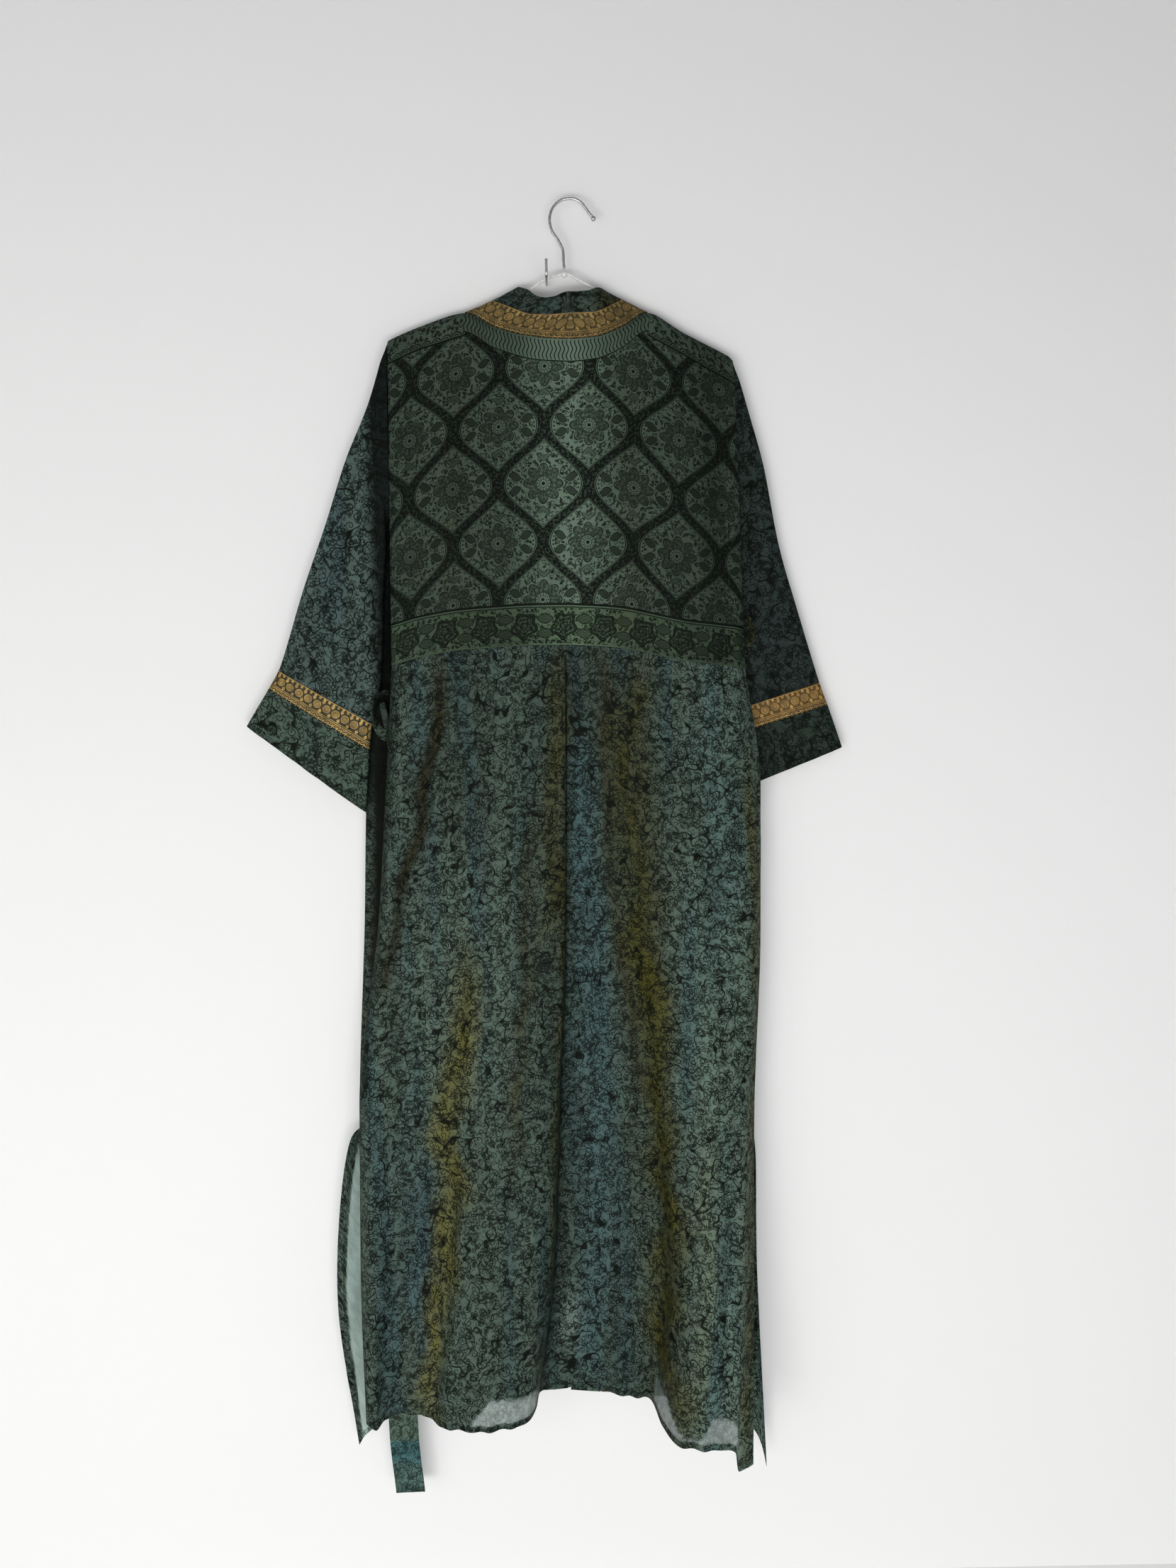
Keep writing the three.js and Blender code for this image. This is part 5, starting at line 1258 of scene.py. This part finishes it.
# ------------------------------------------------------------------ belt and loops
def strap(name, table, per, across, t, flip, tint_at, node):
    rows = list(table.values())
    ts = np.linspace(0, len(rows) - 1, (len(rows) - 1) * per + 1)
    at, half = track([r["at"] for r in rows])(ts), track([r["half"] for r in rows])(ts)
    w = np.linspace(-1, 1, across + 1)
    P = at[:, None] + w[None, :, None] * half[:, None]
    w3 = world(P)
    nrm = outward(w3) * (1 if flip else -1)
    x, z = P[..., 0], P[..., 1]
    w3 = w3 - nrm * (0.25 * (np.abs(w) ** 6)[None, :, None])
    U_, V_ = arcs(w3, 0)
    o = shell(name, w3, t, (U_, V_), {"tint": tint_at(P, V_), "edge": np.minimum(np.minimum(V_, V_[-1:, :] - V_) + 0.0, 40.0)}, flip=flip)
    dress(o, "belt" if node == "belt" else "band")
    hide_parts(node)
    bands[node] = o
    return o


def belt_tint(P, V):
    z = P[..., 1]
    c = dyed(P, 151, 0.4, 0.4)
    sage, teal, low = np.array(lin(86, 105, 91)), np.array(lin(68, 104, 106)), np.array(lin(86, 110, 102))
    c = blend3(c, sage, smooth(-z, 1300, 1372) * 0.9)
    c = blend3(c, teal, smooth(-z, 1404, 1408))
    c = blend3(c, low, smooth(-z, 1428, 1446) * 0.85)
    # Painted shade: the belt is tinted darker above the hip, up to and through the loop.
    c = c * (1 - 0.62 * smooth(z, -640, -560))[..., None]
    tip = V[-1:, :] - V
    c = c * (1 - 0.22 * (1 - smooth(tip, 4.0, 4.8)))[..., None]
    return c


def loop_tint(P, V):
    c = np.broadcast_to(np.array(lin(92, 108, 92)), P.shape) * (0.30 + 0.6 * smooth(-P[..., 1], 494, 512))[..., None]
    c = np.where((P[..., 0] > 0)[..., None], np.array(lin(74, 76, 50)) * 0.8, c)
    return c * (0.9 + 0.15 * smooth(ripple(P[..., 0], P[..., 1], 20, 20, 161), -1, 1))[..., None]


strap("belt_cloth", BELT, 14, 12, 1.1, True, belt_tint, "belt")
strap("belt_loop_cloth_left", LOOP_LEFT, 10, 6, 0.9, True, loop_tint, "belt_loop_left")
strap("belt_loop_cloth_right", LOOP_RIGHT, 10, 6, 0.9, False, loop_tint, "belt_loop_right")


# ------------------------------------------------------------------ wires
def round_wire(name, pts, radius, material, node, sides=20, steps=10, balls=(), taper=0.0):
    """Smooth round wire through (x, z, out) points, with rounded ends and balls."""
    p = world(track(np.asarray(pts, float))(np.linspace(0, len(pts) - 1, (len(pts) - 1) * steps + 1)))
    tan = np.gradient(p, axis=0)
    tan /= np.linalg.norm(tan, axis=1, keepdims=True)
    ref = np.array([0.0, 1.0, 0.0]) if abs(tan[0][1]) < 0.9 else np.array([1.0, 0.0, 0.0])
    verts, quads, fr = [], [], []
    for i in range(len(p)):
        u = ref - tan[i] * ref.dot(tan[i])
        u /= np.linalg.norm(u)
        ref = u
        fr.append((u, np.cross(tan[i], u)))
    prof = [(0, k) for k in range(0)]
    a = 2 * np.pi * np.arange(sides) / sides
    rings = []
    for e, i in ((-1, 0), (1, len(p) - 1)):
        pass
    cap = [(-0.98, 0.20), (-0.85, 0.53), (-0.6, 0.80), (-0.3, 0.954)]
    for d, r in cap:
        rings.append((p[0] + tan[0] * (d + 0.98) * radius * 0.6, r * radius, 0))
    for i in range(len(p)):
        s = min(i, len(p) - 1 - i)
        if s == 0:
            continue
        rings.append((p[i], radius, i))
    for d, r in reversed(cap):
        rings.append((p[-1] - tan[-1] * (d + 0.98) * radius * 0.6, r * radius, len(p) - 1))
    for q, r, i in rings:
        u, v = fr[i]
        verts.append(q + r * (np.cos(a)[:, None] * u + np.sin(a)[:, None] * v))
    verts = list(np.concatenate(verts))
    n = len(rings)
    for k in range(n - 1):
        for s in range(sides):
            s1 = (s + 1) % sides
            quads.append((k * sides + s, k * sides + s1, (k + 1) * sides + s1, (k + 1) * sides + s))
    c0, c1 = len(verts), len(verts) + 1
    verts += [rings[0][0] - tan[0] * radius * 0.02, rings[-1][0] + tan[-1] * radius * 0.02]
    faces = [tuple(q) for q in quads]
    for s in range(sides):
        s1 = (s + 1) % sides
        faces.append((c0, s1, s))
        faces.append((c1, (n - 1) * sides + s, (n - 1) * sides + s1))
    for centre, rx, rz, turns in balls:
        base = len(verts)
        c = world(np.array(centre, float))
        nu, nv_ = 28, 18
        for j in range(nv_ + 1):
            th = np.pi * j / nv_
            for i in range(nu):
                ph = 2 * np.pi * i / nu
                k = 1 + (0.05 * math.cos(th * turns) if turns else 0)
                verts.append(c + np.array([rx * math.sin(th) * math.cos(ph) * k, rx * math.sin(th) * math.sin(ph) * k, rz * math.cos(th)]))
        for j in range(nv_):
            for i in range(nu):
                i1 = (i + 1) % nu
                f = (base + j * nu + i, base + (j + 1) * nu + i, base + (j + 1) * nu + i1, base + j * nu + i1)
                faces.append(f)
    me = bpy.data.meshes.new(name)
    me.from_pydata([tuple(np.asarray(q) / 1000.0) for q in verts], [], faces)
    me.polygons.foreach_set("use_smooth", np.ones(len(me.polygons), bool))
    import bmesh
    bm = bmesh.new()
    bm.from_mesh(me)
    bmesh.ops.remove_doubles(bm, verts=bm.verts, dist=1e-7)
    bmesh.ops.dissolve_degenerate(bm, edges=bm.edges, dist=1e-8)
    bmesh.ops.recalc_face_normals(bm, faces=bm.faces)
    bm.to_mesh(me)
    bm.free()
    o = bpy.data.objects.new(name, me)
    bpy.context.scene.collection.objects.link(o)
    dress(o, material)
    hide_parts(node)
    return o


flat = lambda line: [(x, z, HANGER_OUT) for x, z in line]
round_wire("hanger_arms_wire", flat(ARMS_LINE), 1.5, "coated", "hanger_arms", steps=12,
           balls=[((20.2, 8.6, 12.0), 3.4, 3.9, 0)])
tip = HOOK_LINE[-1]
round_wire("hanger_hook_wire", flat(HOOK_LINE), 1.7, "satin", "hanger_hook", steps=8,
           balls=[((tip[0] + 0.6, tip[1] - 1.6, 12.0), 3.1, 3.1, 0)])
round_wire("wall_hook_wire", NAIL_LINE, 1.7, "nail", "wall_hook", steps=8)

# ------------------------------------------------------------------ stage
def plane(name, corners, colour, rough=0.9, see_through=False):
    me = bpy.data.meshes.new(name)
    me.from_pydata(corners, [], [(0, 1, 2, 3)])
    o = bpy.data.objects.new(name, me)
    bpy.context.scene.collection.objects.link(o)
    n = Net(name + "_paint")
    p = n.cloth(colour, rough, sheen=0.0, spec=0.2)
    if see_through:
        geo, path = n.node("ShaderNodeNewGeometry"), n.node("ShaderNodeLightPath")
        clear, mixed = n.node("ShaderNodeBsdfTransparent"), n.node("ShaderNodeMixShader")
        f = n.max(Val(n, geo.outputs["Backfacing"]), Val(n, path.outputs["Is Shadow Ray"]))
        n.put(mixed.inputs[0], f)
        n.t.links.new(p.outputs[0], mixed.inputs[1])
        n.t.links.new(clear.outputs[0], mixed.inputs[2])
        n.t.links.new(mixed.outputs[0], n.out.inputs[0])
    me.materials.append(n.mat)
    return o


FLOOR, WALL = -1.62, 0.0035
plane("floor", [(-6, -6, FLOOR), (6, -6, FLOOR), (6, 6, FLOOR), (-6, 6, FLOOR)], lin(232, 231, 229))
plane("backdrop", [(-4, WALL, FLOOR), (4, WALL, FLOOR), (4, WALL, 2.2), (-4, WALL, 2.2)], lin(240, 240, 239), see_through=True)

scene = bpy.context.scene
scene.view_settings.view_transform = "Standard"
world_ = bpy.data.worlds.new("room")
scene.world = world_
world_.use_nodes = True
bg = world_.node_tree.nodes["Background"]
bg.inputs[0].default_value = (0.94, 0.96, 1.0, 1.0)
bg.inputs[1].default_value = 0.29


def lamp(name, at, to, size, power, colour=(1, 1, 1)):
    d = bpy.data.lights.new(name, "AREA")
    d.shape, d.size, d.size_y, d.energy, d.color = "RECTANGLE", size[0], size[1], power, colour
    o = bpy.data.objects.new(name, d)
    o.location = at
    o.rotation_mode = "QUATERNION"
    o.rotation_quaternion = (Vector(to) - Vector(at)).to_track_quat("-Z", "Y")
    scene.collection.objects.link(o)
    return o


lamp("key", (-1.7, -2.4, -0.80), (0.0, 0.0, -0.9), (2.2, 2.2), 18, (1.0, 0.99, 0.97))
lamp("low", (-0.15, -2.3, -1.3), (0.0, 0.0, -1.0), (2.8, 0.6), 34, (1.0, 1.0, 1.0))
lamp("behind", (0.8, 2.6, 0.1), (0.0, 0.0, -0.7), (1.8, 2.0), 45, (1.0, 1.0, 1.0))

cam_data = bpy.data.cameras.new("camera")
cam = bpy.data.objects.new("camera", cam_data)
scene.collection.objects.link(cam)
R, U, F = (0.9999, -0.0088, -0.0128), (0.0137, 0.1073, 0.9941), (0.0073, 0.9942, -0.1074)
rot = Matrix((R, U, tuple(-q for q in F))).transposed()
cam.matrix_world = Matrix.Translation((0.0292, -1.4177, -0.4271)) @ rot.to_4x4()
cam_data.sensor_fit = "AUTO"
cam_data.sensor_width = 36.0
cam_data.lens = 36.0 * 1663.0 / 2212.0
cam_data.clip_start, cam_data.clip_end = 0.05, 60.0
scene.camera = cam
